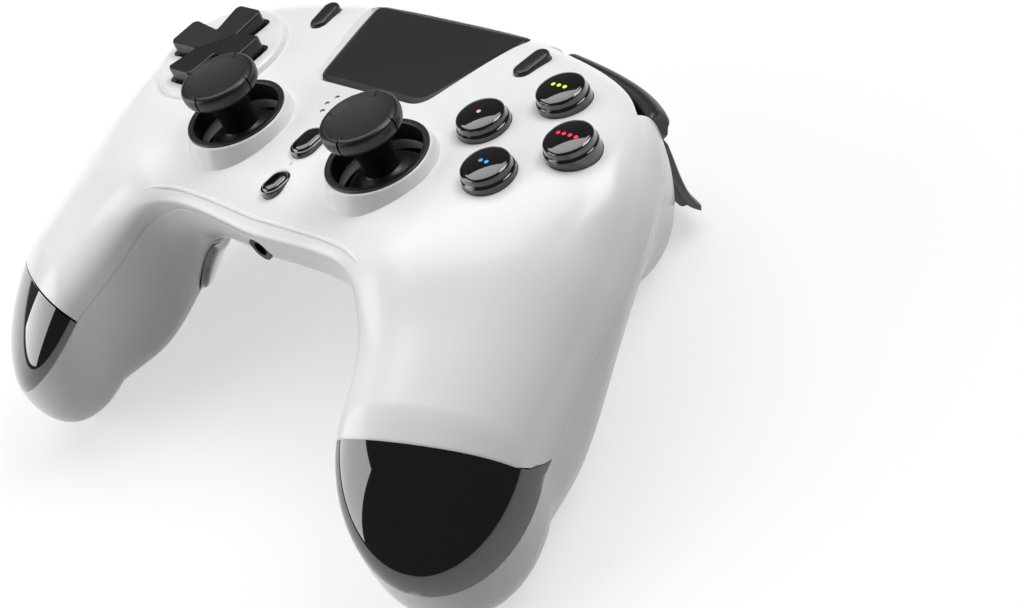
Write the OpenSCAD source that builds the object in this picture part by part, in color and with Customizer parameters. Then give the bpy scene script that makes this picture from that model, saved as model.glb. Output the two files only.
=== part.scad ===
// Two-stick gamepad, built as an assembly of separate pieces.
// Every piece is drawn in the frame of the flat face: z = 0 on the face, +y to the rear, +x to the
// player's right. rest() then lays the whole pad on its grips and its rear housing.

/* [Housing] */
// width across the grips
body_width = 165; // [161:1:169]
// wall of the moulded shells
wall = 2.2; // [2:0.1:2.4]

/* [Sticks] */
// distance between the two stick centres
stick_spacing = 46; // [45:0.5:47]
// diameter of a stick's cap
cap_dia = 17.5; // [16:0.5:18]
// diameter of the pins in the stick mechanism
gimbal_pin = 2.2; // [1.8:0.1:2.4]

/* [Buttons] */
// distance of a face button from the middle of its group
button_pitch = 12; // [11.6:0.1:12.4]
// diameter of a face button's cap
button_dia = 10.6; // [9.8:0.1:11]
// length of the cross pad from tip to tip
dpad_span = 24.4; // [22:0.2:25]
// length of the pill buttons beside the touch pad
pill_length = 9.2; // [8:0.2:10]

/* [Rear controls] */
// diameter of the trigger pins
trigger_pin = 3.1; // [2.6:0.1:3.3]
// gap left around a moving piece in the shell
gap = 0.4; // [0.35:0.05:0.5]

/* [Inside] */
// thickness of the main board
board_thick = 1.6; // [1.2:0.1:1.8]
// diameter of a rumble motor
motor_dia = 13; // [11:0.5:14]
// diameter of the housing screws
screw_dia = 2.5; // [2:0.1:2.8]
// bore of the headset jack
jack_bore = 3.5; // [3.4:0.05:3.6]

/* [Hidden] */
$fn = 48;
kx = body_width/165;
tilt = 10.32;
rest_y = 8.54;
rest_z = 49.9;
white = [0.93, 0.93, 0.94];
black = [0.07, 0.07, 0.08];
gloss = [0.02, 0.02, 0.025];
grey = [0.45, 0.46, 0.48];
steel = [0.72, 0.73, 0.75];
green = [0.05, 0.3, 0.16];
rubber = [0.2, 0.2, 0.22];

// housing: one row per station, from a grip's end to the middle of the rear
// inner seam x y z, outer seam x y z, face height in and out, belly depth in and out,
// fullness of the face in and out, fullness of the belly in and out, dip of the face at the front
stations = [
  [45*kx, -45.5, -24, 82*kx, -30.5, -33, 12, 15, 30, 22, 2.2, 2.2, 2.5, 2.2, 0],
  [41*kx, -33, -18.5, 80.5*kx, -14, -26.5, 12.5, 14.5, 34.5, 30.5, 2.3, 2.3, 2.4, 1.85, 0],
  [35.5*kx, -24, -11.6, 78.8*kx, 5.5, -20, 11.2, 15, 33.5, 31, 3, 2.5, 2.3, 1.35, 2],
  [28*kx, -19.5, -8.4, 73.8*kx, 24.5, -15.2, 8.4, 14.8, 21.8, 31, 5, 3, 2.3, 1.4, 4],
  [19.5*kx, -18.6, -7.7, 60.6*kx, 42.5, -13, 7.7, 13, 15.6, 44.5, 6, 3.5, 2.6, 2.3, 5],
  [9.6*kx, -19.2, -7.6, 32.7*kx, 51, -11.5, 7.6, 11.2, 13.6, 28, 6, 4, 2.8, 2.8, 5],
  [0, -19.8, -7.6, 0, 52.9, -11.5, 7.6, 11.2, 13.6, 24, 6, 4, 2.8, 2.8, 5]];
grip_axis = [5*kx, -21, -14.5];
dip_end = 0.33;
cols = 10;
per = 3;
cap_rows = [-0.97, -0.72, -0.46, -0.22];

// controls
sx = stick_spacing/2;
sy = 2.5;
pivot_z = -11;
cx = 49*kx;
cy = 20;
board_z = -9;
board_r = 19.4;
upper_z = -7;
main_z = -16.5;
collar_top = 2.6;
hole_r = 10.8;
pin_r = gimbal_pin/2;
run = 0.05;
button_r = button_dia/2;
base_r = button_r+0.45;
tube_end = -3.2;
mode_seat = -4.4;
pill_seat = -4.4;
trig_y = 37.5;
trig_z = -19;
trig_r = trigger_pin/2;
tx0 = 38*kx;
tx1 = 56*kx;
motor_r = motor_dia/2;
motor_at = [60*kx, -4, -31];
screw_r = screw_dia/2;
grip_screw = [61*kx, -33];
grip_seat = -38;
grip_joint = -30;
front_seat = -19;
front_joint = -11;
front_screw = [34*kx, -9.5];
jack_z = -11.2;
usb_z = main_z-board_thick-1.7;
home_y = 2.6;
mode_y = -8.8;
pad_y = 47;
pad_z = -6.6;
gt = gap/27;

function cr(p, q, r, s, u) =
  0.5*(2*q+(r-p)*u+(2*p-5*q+4*r-s)*u*u+(3*q-p-3*r+s)*u*u*u);
function mir(v) = [for (k = [0:len(v)-1]) k == 0 || k == 3 ? -v[k] : v[k]];
last = len(stations)-1;
ext = concat([2*stations[0]-stations[1]], stations, [mir(stations[last-1])]);
function row(t) = let (k = min(floor(t), last-1))
  cr(ext[k], ext[k+1], ext[k+2], ext[k+3], t-k);
function spow(c, e) = sign(c)*pow(abs(c), e);
// the line between the face and a grip's cap bows across the grip and turns up at the outer seam
function bow(a) = -0.02-0.12*sin(a)+0.24*pow(max(0, (a-140)/40), 5);
// point of the housing: at runs 0 at the right grip to 6 in the middle and 12 at the left grip, below 0 over
// the grip's end; a runs 0 to 180 from the inner to the outer seam; s is 1 on the face, -1 on the belly
function skin(at, a, s, deep = 0) = at > last ?
  let (p = skin(2*last-at, a, s, deep)) [-p[0], p[1], p[2]] :
  let (t = at+max(0, 1-abs(at)/0.9)*bow(a), v = row(max(t, 0)), i = [v[0], v[1], v[2]], o = [v[3], v[4], v[5]],
       d = (o-i)/norm(o-i), c = s > 0 ? 0 : 2,
       e = 2/(v[10+c]+(v[11+c]-v[10+c])*a/180),
       f = 0.5-0.5*spow(cos(a), e),
       dip = s > 0 ? v[14]*pow(max(0, 1-f/dip_end), 2) : 0,
       h = v[6+c]+(v[7+c]-v[6+c])*f-deep-dip,
       p = i+d*deep+(o-i-2*d*deep)*f+[0, 0, s*h*pow(abs(sin(a)), e)],
       m = (i+o)/2, ph = 90*(1+t))
  t >= 0 ? p : m+(p-m)*sin(ph)+grip_axis*(1-deep/norm(grip_axis))*cos(ph);
body_rows = [for (k = [0:2*last*per]) k/per];
all_rows = concat(cap_rows, body_rows, [for (k = [len(cap_rows)-1:-1:0]) 2*last-cap_rows[k]]);
function turn(f, s) = s > 0 ? f : [f[2], f[1], f[0]];

// half of the housing, hollow: rows ts, tip0 and tip1 tell whether an end is closed
module half_shell(ts, s, tip0, tip1) {
  n = cols;
  m = len(ts);
  pts = concat([for (t = ts) for (k = [0:n]) skin(t, 180*k/n, s)],
               [for (t = ts) for (k = [0:n]) skin(t, 180*k/n, s, wall)]);
  w = n+1;
  q = m*w;
  tri = concat(
    [for (i = [0:m-2]) for (k = [0:n-1]) [i*w+k, (i+1)*w+k, (i+1)*w+k+1]],
    [for (i = [0:m-2]) for (k = [0:n-1]) [i*w+k, (i+1)*w+k+1, i*w+k+1]],
    [for (i = [0:m-2]) for (k = [0:n-1]) [q+i*w+k, q+(i+1)*w+k+1, q+(i+1)*w+k]],
    [for (i = [0:m-2]) for (k = [0:n-1]) [q+i*w+k, q+i*w+k+1, q+(i+1)*w+k+1]],
    [for (i = [0:m-2]) [i*w, q+i*w, q+(i+1)*w]],
    [for (i = [0:m-2]) [i*w, q+(i+1)*w, (i+1)*w]],
    [for (i = [0:m-2]) [i*w+n, q+(i+1)*w+n, q+i*w+n]],
    [for (i = [0:m-2]) [i*w+n, (i+1)*w+n, q+(i+1)*w+n]]);
  e = (m-1)*w;
  first = tip0 ? concat([for (k = [1:n-1]) [0, k, k+1]], [for (k = [1:n-1]) [q, q+k+1, q+k]],
                        [[0, n, q+n], [0, q+n, q]])
    : concat([for (k = [0:n-1]) [k, k+1, q+k+1]], [for (k = [0:n-1]) [k, q+k+1, q+k]]);
  end = tip1 ? concat([for (k = [1:n-1]) [e, e+k+1, e+k]], [for (k = [1:n-1]) [q+e, q+e+k, q+e+k+1]],
                      [[e, q+e+n, e+n], [e, q+e, q+e+n]])
    : concat([for (k = [0:n-1]) [e+k, q+e+k+1, e+k+1]], [for (k = [0:n-1]) [e+k, q+e+k, q+e+k+1]]);
  polyhedron(pts, [for (f = concat(tri, first, end)) turn(f, s)]);
}

// the same half filled up to the seam, its skin set inwards by deep
module half_solid(s, deep) {
  n = cols;
  w = n+1;
  m = len(all_rows);
  e = (m-1)*w;
  pts = [for (t = all_rows) for (k = [0:n]) skin(t, 180*k/n, s, deep)];
  tri = concat(
    [for (i = [0:m-2]) for (k = [0:n-1]) [i*w+k, (i+1)*w+k, (i+1)*w+k+1]],
    [for (i = [0:m-2]) for (k = [0:n-1]) [i*w+k, (i+1)*w+k+1, i*w+k+1]],
    [for (i = [0:m-2]) [i*w, i*w+n, (i+1)*w+n]],
    [for (i = [0:m-2]) [i*w, (i+1)*w+n, (i+1)*w]],
    [for (k = [1:n-1]) [0, k, k+1]],
    [for (k = [1:n-1]) [e, e+k+1, e+k]]);
  polyhedron(pts, [for (f = tri) turn(f, s)]);
}

// outward direction of the outer seam seen from above
function seam_dir(t) = let (d = skin(t+0.04, 180, 1)-skin(t-0.04, 180, 1)) [d[1], -d[0], 0]/norm([d[0], d[1]]);
function seam_at(t, d, z) = let (o = skin(t, 180, 1), p = o+seam_dir(t)*d) [p[0], p[1], z];

// bar that follows the outer seam from t0 to t1; its outline of [outwards, height] runs down one side and
// back up the other, so that its ends close as a strip of triangles
function turned(p) = let (n = len(p), a = [for (k = [0:n-1]) cross(p[k], p[(k+1)%n])])
  a*[for (k = a) 1] > 0 ? p : [for (k = [n-1:-1:0]) p[k]];
module rail(t0, t1, outline, steps = 8) {
  prof = turned(outline);
  n = len(prof);
  e = steps*n;
  pts = [for (i = [0:steps]) let (t = t0+(t1-t0)*i/steps) for (p = prof) seam_at(t, p[0], p[1])];
  polyhedron(pts, concat(
    [for (i = [0:steps-1]) for (k = [0:n-1]) [i*n+k, i*n+(k+1)%n, (i+1)*n+(k+1)%n]],
    [for (i = [0:steps-1]) for (k = [0:n-1]) [i*n+k, (i+1)*n+(k+1)%n, (i+1)*n+k]],
    [for (k = [0:n/2-2]) [n-1-k, k+1, k]], [for (k = [0:n/2-2]) [n-1-k, n-2-k, k+1]],
    [for (k = [0:n/2-2]) [e+k, e+k+1, e+n-1-k]], [for (k = [0:n/2-2]) [e+k+1, e+n-2-k, e+n-1-k]]));
}

// shield-shaped patch of the belly between the depths up and down, grown by m at its edge
function belly_normal(t, a) =
  let (n = cross(skin(t+0.05, a, -1)-skin(t-0.05, a, -1), skin(t, a+2, -1)-skin(t, a-2, -1))) n/norm(n);
function patch_a(u, v) = let (c = 68-3*u, h = 16*sqrt(max(0.02, 1-pow(max(0, u), 2.4)))) c+h*v;
module patch(up, down, m) {
  nu = 8;
  nv = 6;
  w = nv+1;
  g = [for (i = [0:nu]) for (k = [0:nv]) let (u = -0.12+1.1*i/nu, v = -1+2*k/nv,
       t = 2.82-0.78*u-m*0.045*(2*i/nu-1), a = patch_a(u, v)+m*1.9*v) [t, a]];
  hi = [for (q = g) skin(q[0], q[1], -1)+belly_normal(q[0], q[1])*up];
  lo = [for (q = g) skin(q[0], q[1], -1)-belly_normal(q[0], q[1])*down];
  q = (nu+1)*w;
  faces = concat(
    [for (i = [0:nu-1]) for (k = [0:nv-1]) [i*w+k, i*w+k+1, (i+1)*w+k+1]],
    [for (i = [0:nu-1]) for (k = [0:nv-1]) [i*w+k, (i+1)*w+k+1, (i+1)*w+k]],
    [for (i = [0:nu-1]) for (k = [0:nv-1]) [q+i*w+k, q+(i+1)*w+k+1, q+i*w+k+1]],
    [for (i = [0:nu-1]) for (k = [0:nv-1]) [q+i*w+k, q+(i+1)*w+k, q+(i+1)*w+k+1]],
    [for (i = [0:nu-1]) [i*w, (i+1)*w, q+(i+1)*w]], [for (i = [0:nu-1]) [i*w, q+(i+1)*w, q+i*w]],
    [for (i = [0:nu-1]) [i*w+nv, q+(i+1)*w+nv, (i+1)*w+nv]],
    [for (i = [0:nu-1]) [i*w+nv, q+i*w+nv, q+(i+1)*w+nv]],
    [for (k = [0:nv-1]) [k, q+k+1, k+1]], [for (k = [0:nv-1]) [k, q+k, q+k+1]],
    [for (k = [0:nv-1]) [nu*w+k, nu*w+k+1, q+nu*w+k+1]],
    [for (k = [0:nv-1]) [nu*w+k, q+nu*w+k+1, q+nu*w+k]]);
  polyhedron(concat(hi, lo), [for (f = faces) turn(f, -1)]);
}

module rest() translate([0, rest_y, rest_z]) rotate([-tilt, 0, 0]) children();
module side(s) { if (s < 0) mirror([1, 0, 0]) children(); else children(); }
module pair() for (s = [-1, 1]) side(s) children();
module slab(x0, x1, y0, y1, z0, z1) translate([x0, y0, z0]) cube([x1-x0, y1-y0, z1-z0]);
module rod(r, z0, z1) translate([0, 0, z0]) cylinder(r = r, h = z1-z0);
module rod_x(r, x0, x1) translate([x0, 0, 0]) rotate([0, 90, 0]) cylinder(r = r, h = x1-x0);
module rod_y(r, y0, y1) translate([0, y1, 0]) rotate([90, 0, 0]) cylinder(r = r, h = y1-y0);
module oval(x, y, z0, z1, grow = 0) translate([0, 0, z0]) linear_extrude(z1-z0) {
  square([x+2*grow, y-x], center = true);
  for (k = [-1, 1]) translate([0, k*(y-x)/2]) circle(r = x/2+grow);
}
module at_pill() translate([33*kx, 40]) rotate(-9) children();
module at_buttons() for (k = [0:3]) translate([cx, cy]) rotate(90*k) translate([button_pitch, 0]) children();
module at_sticks() for (s = [-1, 1]) translate([s*sx, sy]) children();

// outlines shared by a moving piece and its opening
bumper_at = [31*kx, 44.6];
bumper_r = 33.4*kx;
bumper_cut = [[-3.1, 2], [-3.1, -7.1], [-5.4, -7.6], [-5.4, -14], [4, -14], [4, 2]];
bumper_prof = [[-2.5, -8.8], [-2.5, -9.6], [-2.4, -13.6], [1.4, -13.6], [2, -12.1], [2.7, -11.4],
               [2.4, -8.8], [1.2, -7.1], [-0.6, -6.5], [-1.9, -7.6]];
trig_in = 33.6*kx;
trig_out = 61.4*kx;
trigger_cut = [[-9, -37.5], [-9, -17.6], [3, -17.6], [3, -37.5]];
trigger_prof = [[-1.4, -18], [-1.3, -23], [-0.9, -28], [-0.2, -33], [1.2, -36], [3.2, -38.8], [4, -38.1],
                [2.9, -35.6], [1.9, -32], [1.4, -27], [1.3, -22], [1.1, -18]];
bar_prof = [[-3, -15.2], [0.35, -15.2], [0.35, -11.9], [-3, -11.9]];
b0 = 3.7;
b1 = 5.06;
t0 = 3.86;
t1 = 5;
module bumper_end(g) translate(bumper_at) rod(bumper_r+g, -20, 5);
module trigger_sides(g) slab(trig_in-g, trig_out+g, 20, 70, -60, 0);
module bumper_opening() intersection() {
  rail(b0-0.1, b1+gt, bumper_cut);
  bumper_end(gap);
}
module pad_outline(g = 0) offset(r = g) offset(r = 2.5) offset(r = -2.5)
  polygon([[-25, 49.4], [25, 49.4], [22.6, 40], [19.6, 30], [16.8, 21], [-16.8, 21], [-19.6, 30], [-22.6, 40]]);
module pad_tilt() translate([0, pad_y, pad_z]) rotate([-4.6, 0, 0]) translate([0, -pad_y, -pad_z]) children();
module dpad_outline(g = 0) for (k = [0:3]) rotate(90*k) let (e = dpad_span/2+g)
  polygon([[-3.3-g, -1], [3.3+g, -1], [4.4+g, e-1], [3.4+g, e], [-3.4-g, e], [-4.4-g, e-1]]);

module front_posts() {
  pair() for (k = [0:3]) translate([cx, cy]) rotate(45+90*k) translate([17, 0]) rod(1.8, board_z, 3);
  at_buttons() rod(base_r+1.7, tube_end, 3);
  translate([0, home_y]) oval(6.4, 8.8, tube_end, 3, 2);
  translate([0, mode_y]) oval(5.4, 7.4, mode_seat, 3, 2);
  pair() at_pill() oval(4.2, pill_length, pill_seat, 3, 2);
  pair() translate([8.6, 9.6]) rod(1.6, upper_z, 3);
  pair() translate([8.2, -12]) rod(1.6, upper_z, 3);
  pair() translate([28, 33]) rod(1.8, upper_z, 3);
  pair() slab(25.6, 27.4, pad_y-1.8, pad_y+1.6, pad_z-1.8, 0);
  pair() translate(bumper_at) rod(1, -13, 0);
  pair() translate(front_screw) rod(3, front_joint, 3);
  pair() translate(grip_screw) rod(3, grip_joint, 3);
}

module front_shell() rest() color(white) difference() {
  union() {
    difference() {
      half_shell(body_rows, 1, false, false);
      translate([-cx, cy]) rod(15.5, -8, 4);
    }
    at_sticks() translate([0, 0, -4]) cylinder(r1 = hole_r+3.1, r2 = hole_r+0.95, h = collar_top+4);
    translate([-cx, cy]) difference() {
      translate([0, 0, -4]) cylinder(r1 = 17.6, r2 = 15.9, h = 5.4);
      rod(14.6, -5, 0);
    }
    intersection() {
      front_posts();
      half_solid(1, wall/2);
    }
  }
  at_sticks() rod(hole_r, -9, 5);
  translate([-cx, cy, -4]) linear_extrude(8) dpad_outline(0.8);
  at_buttons() {
    rod(base_r+0.15, -9, 5);
    rod(base_r+1.4, -9, tube_end);
  }
  translate([0, home_y]) {
    oval(6.4, 8.8, -9, 5, 0.15);
    oval(6.4, 8.8, -9, tube_end, 1.5);
  }
  translate([0, mode_y]) {
    oval(5.4, 7.4, -9, 5, 0.15);
    oval(5.4, 7.4, -9, mode_seat, 1.5);
  }
  translate([0, -3.3]) rod(0.5, -9, 5);
  pair() at_pill() {
    oval(4.2, pill_length, -9, 5, 0.15);
    oval(4.2, 5.2, -9, pill_seat, 1.4);
  }
  for (p = lights) translate(p) rod(0.65, -9, 5);
  translate([0, 0, -12]) linear_extrude(20) pad_outline(gap);
  translate([0, pad_y, pad_z]) rod_x(0.95, -30, 30);
  pair() bumper_opening();
  rail(b1+0.01, 2*last-b1-0.01, [[-4, -17], [3, -17], [3, -11.5], [-4, -11.5]], 10);
  pair() translate(front_screw) rod(screw_r+0.05, front_joint-1, front_joint+7);
  pair() translate(grip_screw) rod(screw_r+0.05, grip_joint-1, grip_joint+7);
}

lights = [[-5.6, 12.2], [-6.5, 14.6], [-5.6, 17]];

module rear_posts() {
  pair() translate([33*kx, 41]) rod(2.4, -60, main_z-board_thick);
  pair() translate([31, 14]) rod(2.4, -60, main_z-board_thick);
  translate([0, -3.6]) rod(2, -60, main_z-board_thick);
  pair() slab(8, 10, 15, 41, -60, -23.8);
  pair() translate([42*kx, 31]) rod(2.6, -60, -28.6);
  pair() translate([52*kx, 31]) rod(2.6, -60, -28.6);
  pair() slab(motor_at[0]-6, motor_at[0]+6, motor_at[1]-11, motor_at[1]-1, -60, motor_at[2]-1);
  pair() translate(front_screw) rod(4.4, -60, front_joint);
  pair() translate(grip_screw) rod(4.4, -70, grip_joint);
}

module rear_shell() rest() color(white) difference() {
  union() {
    half_shell(all_rows, -1, true, true);
    intersection() {
      rear_posts();
      half_solid(-1, wall/2);
    }
  }
  pair() translate(front_screw) {
    rod(screw_r+0.3, -60, 0);
    rod(2.9, -60, front_seat);
  }
  pair() translate(grip_screw) {
    rod(screw_r+0.3, -80, 0);
    rod(2.9, -80, grip_seat);
  }
  pair() translate(motor_at) rod_y(motor_r, -30, 8);
  pair() bumper_opening();
  pair() intersection() {
    rail(t0-0.4, t1+0.06, trigger_cut, 10);
    trigger_sides(gap);
  }
  rail(b1+0.01, 2*last-b1-0.01, [[-4, -15.3], [3, -15.3], [3, -8], [-4, -8]], 10);
  pair() patch(4, 9, 1);
  translate([0, 0, jack_z]) rod_y(3.05, -30, -12);
  translate([0, 50, usb_z]) rotate([90, 0, 0]) rotate(90) oval(3.4, 9.2, -8, 8, 0.3);
  translate([13, -5]) {
    slab(-3.1, 3.1, -1.3, 1.3, -28, -19);
    slab(-4.6, 4.6, -1.6, 1.6, -20.4, -15);
  }
  translate([5.5, -5.5]) rod(0.9, -30, -18);
}

module grip_cap() half_shell(concat(cap_rows, [0]), 1, true, false);
module right_grip_cap() rest() color(gloss) grip_cap();
module left_grip_cap() rest() color(gloss) mirror([1, 0, 0]) grip_cap();

// thumbstick, drawn about its pivot
module at_stick(s) rest() translate([s*sx, sy, pivot_z]) children();
module eight(h, cut) polygon([[h, cut], [cut, h], [-cut, h], [-h, cut], [-h, -cut], [-cut, -h], [cut, -h],
  [h, -cut]]);
module bezel() translate([0, 0, collar_top-pivot_z]) difference() {
  union() {
    rod(hole_r-run, -4, 0);
    rod(hole_r+0.6, 0, 0.5);
  }
  rod(hole_r-0.8, -5, 1);
}
module stick_base() difference() {
  translate([0, 0, main_z-pivot_z]) linear_extrude(8.8) eight(8, 5.8);
  translate([0, 0, main_z-pivot_z+1]) linear_extrude(10) eight(7, 5.2);
  rod_x(pin_r+run, -9, 9);
  rod_y(pin_r+run, -9, 9);
}
module rocker() difference() {
  union() {
    slab(-4.6, 4.6, -3.6, 3.6, -2, 2);
    rod_x(pin_r, -7.9, 7.9);
  }
  slab(-3.1, 3.1, -2.15, 2.15, -3, 3);
  rod_y(0.85, -5, 5);
}
module arch() difference() {
  union() {
    slab(-2.2, 2.2, -5.8, -4.8, -2, 5);
    slab(-2.2, 2.2, 4.8, 5.8, -2, 5);
    slab(-3.2, 3.2, -5.8, 5.8, 4.6, 6);
    rod_y(pin_r, -7.9, -4.8);
    rod_y(pin_r, 4.8, 7.9);
  }
  slab(-2, 2, -3.9, 3.9, 4, 7);
}
module hub() {
  rod(1.9, -2.4, 14);
  rod_y(0.8, -3.5, 3.5);
}
cap_r = cap_dia/2;
module stick_cap() rotate_extrude() polygon([[1.95, 9], [1.95, 14.6], [0, 14.6], [0, 23.2], [cap_r-2.2, 23.8],
  [cap_r-1.1, 24.4], [cap_r-0.3, 24.1], [cap_r, 23], [cap_r, 21.6], [cap_r-0.7, 20.3], [5, 19.4], [4.2, 17.5],
  [3.7, 13], [3.9, 10.82], [5.75, 9.96], [8.13, 8.13], [9.96, 5.75], [9.35, 5.4], [7.64, 7.64], [5.4, 9.35],
  [3.2, 10.3], [3.2, 9]]);
module left_stick_bezel() at_stick(-1) color(black) bezel();
module right_stick_bezel() at_stick(1) color(black) bezel();
module left_stick_base() at_stick(-1) color(grey) stick_base();
module right_stick_base() at_stick(1) color(grey) stick_base();
module left_stick_rocker() at_stick(-1) color(white) rocker();
module right_stick_rocker() at_stick(1) color(white) rocker();
module left_stick_arch() at_stick(-1) color(grey) arch();
module right_stick_arch() at_stick(1) color(grey) arch();
module left_stick_shaft() at_stick(-1) color(steel) hub();
module right_stick_shaft() at_stick(1) color(steel) hub();
module left_stick_cap() at_stick(-1) color(black) stick_cap();
module right_stick_cap() at_stick(1) color(black) stick_cap();

// cross pad on its two-way pivot
dpad_z = -5;
module at_dpad() rest() translate([-cx, cy]) children();
module dpad() at_dpad() color(black) difference() {
  union() {
    translate([0, 0, -1.6]) linear_extrude(6.6) dpad_outline();
    rod(13, -2.8, -1.6);
    for (k = [0:3]) rotate(90*k) translate([9.5, 0]) rod(1.6, -5, -2);
    slab(-1.6, 1.6, -2.7, -1.5, -6.2, -2);
    slab(-1.6, 1.6, 1.5, 2.7, -6.2, -2);
  }
  translate([0, 0, dpad_z]) rod_y(0.85, -4, 4);
  translate([0, 0, 14.4]) sphere(r = 10, $fn = 40);
}
module dpad_pivot() at_dpad() color(grey) translate([0, 0, dpad_z]) {
  rod_x(0.8, -3.5, 3.5);
  rod_y(0.8, -2.7, 2.7);
  slab(-1.1, 1.1, -1.1, 1.1, -1.1, 1.1);
}
module left_button_board() at_dpad() color(green) difference() {
  union() {
    rod(board_r, board_z-1.2, board_z);
    slab(-3.6, -2.3, -1.3, 1.3, board_z-1, dpad_z+1.6);
    slab(2.3, 3.6, -1.3, 1.3, board_z-1, dpad_z+1.6);
  }
  translate([0, 0, dpad_z]) rod_x(0.85, -5, 5);
}
module dpad_mat() at_dpad() color(rubber) difference() {
  union() {
    rod(13.4, board_z, board_z+0.8);
    for (k = [0:3]) rotate(90*k) translate([9.5, 0, board_z]) cylinder(r1 = 3.4, r2 = 2.4, h = 2.7);
  }
  rod(5, board_z-1, board_z+2);
}

// face buttons
module at_face(k) rest() translate([cx, cy]) rotate(90*k) translate([button_pitch, 0]) children();
module button() rotate_extrude() polygon([[0, -5.6], [3, -5.6], [3, -4.4], [base_r+1.1, -4.4],
  [base_r+1.1, tube_end-run], [base_r, tube_end-run], [base_r, 1.2], [button_r, 1.5], [button_r, 2.7],
  [button_r-0.5, 3.2], [button_r*0.6, 3.6], [0, 3.75]]);
module right_face_button() at_face(0) color(gloss) button();
module top_face_button() at_face(1) color(gloss) button();
module left_face_button() at_face(2) color(gloss) button();
module bottom_face_button() at_face(3) color(gloss) button();
module right_button_board() rest() translate([cx, cy]) color(green) rod(board_r, board_z-1.2, board_z);
module face_button_mat() rest() translate([cx, cy]) color(rubber) {
  for (k = [0:3]) rotate(90*k) {
    slab(0, button_pitch, -4, 4, board_z, board_z+0.8);
    translate([button_pitch, 0, board_z]) cylinder(r1 = 4.6, r2 = 2.8, h = 1.9);
  }
}

// small buttons, lights and touch pad
module key(x, y, top, seat) {
  oval(x, y, seat-1.2, top-0.6);
  oval(x-1, y-1, top-0.7, top);
  oval(x, y, seat-1.2, seat-run, 1.3);
}
module home_button() rest() color(gloss) translate([0, home_y]) key(6.4, 8.8, 1.4, tube_end);
module mode_button() rest() color(gloss) translate([0, mode_y]) key(5.4, 7.4, -0.7, mode_seat);
module pill() at_pill() {
  oval(4.2, pill_length, -5.2, 0);
  oval(3.4, pill_length-0.8, -0.1, 0.5);
  oval(4.2, 5.2, -5.2, pill_seat-run, 1.2);
}
module options_button() rest() color(black) pill();
module share_button() rest() color(black) mirror([1, 0, 0]) pill();
module status_lights() rest() color([0.85, 0.9, 1]) {
  slab(-8, -4, 11.2, 18, upper_z, -4);
  for (p = lights) translate(p) rod(0.6, -4.2, -0.6);
}
module touch_pad() rest() color(black) {
  pad_tilt() translate([0, 0, -4.4]) linear_extrude(2.2) pad_outline();
  pair() slab(21.4, 23.6, pad_y-1.6, pad_y+1.4, pad_z-1.2, -3);
  pair() translate([0, pad_y, pad_z]) rod_x(0.9, 22, 27.2);
  translate([0, 25]) rod(1.6, -4.3, -1.5);
}
module upper_board() rest() color(green) {
  slab(-30, 30, 22, 38.2, upper_z-1.2, upper_z);
  slab(-38*kx, 38*kx, 38, 43, upper_z-1.2, upper_z);
  slab(-10.4, 10.4, -13.8, 22.2, upper_z-1.2, upper_z);
  translate([0, 25]) tact(3, 1.7);
  translate([0, home_y]) tact(2.3, tube_end-upper_z-2.1);
  translate([0, mode_y]) tact(2.3, mode_seat-upper_z-2.1);
  pair() translate([33*kx, 40]) tact(2.2, 0.7);
}
module tact(h, high) {
  slab(-h, h, -h, h, upper_z-0.1, upper_z+high);
  rod(1.3, upper_z+high-0.1, upper_z+high+0.4);
}
module light_bar() rest() color(black) rail(b1+0.03, 2*last-b1-0.03, bar_prof, 10);

// bumpers and triggers
module bumper() {
  intersection() {
    rail(b0, b1, bumper_prof);
    bumper_end(0);
  }
  difference() {
    union() {
      translate(bumper_at) rod(2.6, -12.6, -8.6);
      slab(32*kx, 35.4*kx, 44.6, 50, -12.6, -9);
    }
    translate(bumper_at) rod(1+run, -14, -5);
  }
}
module right_bumper() rest() color(black) bumper();
module left_bumper() rest() color(black) mirror([1, 0, 0]) bumper();
module trigger() difference() {
  union() {
    intersection() {
      rail(t0, t1, trigger_prof);
      trigger_sides(0);
    }
    for (t = [4.3, 4.55]) rail(t, t+0.07, [[-13, -17.8], [-9, -16.4], [-0.4, -18.2], [0.2, -26.5],
      [0.4, -30], [-2.4, -26], [-8, -22.6], [-13, -20]], 2);
    intersection() {
      rail(t0, t0+0.3, [[-0.6, -18.4], [0, -25], [1, -34], [-0.6, -33], [-2.6, -27.5], [-3.4, -18.4]], 4);
      slab(trig_out-1.6, trig_out, 20, 70, -60, 0);
    }
    translate([0, trig_y, trig_z]) rod_x(trig_r+1.6, tx0+2.2, tx1-5);
  }
  translate([0, trig_y, trig_z]) rod_x(trig_r+run, tx0-9, tx1+9);
}
module trigger_pin_rod() translate([0, trig_y, trig_z]) rod_x(trig_r, tx0-0.6, tx1+0.6);
module trigger_frame() difference() {
  union() {
    slab(tx0, tx0+1.6, 29, 40.6, -28.6, -15.6);
    slab(tx1-1.6, tx1, 29, 40.6, -28.6, -15.6);
    slab(tx0, tx1, 28.4, 30, -28.6, -15.6);
    slab(tx0, tx1, 28.4, 33.4, -28.6, -27.2);
  }
  translate([0, trig_y, trig_z]) rod_x(trig_r, tx0-9, tx1+9);
}
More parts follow.
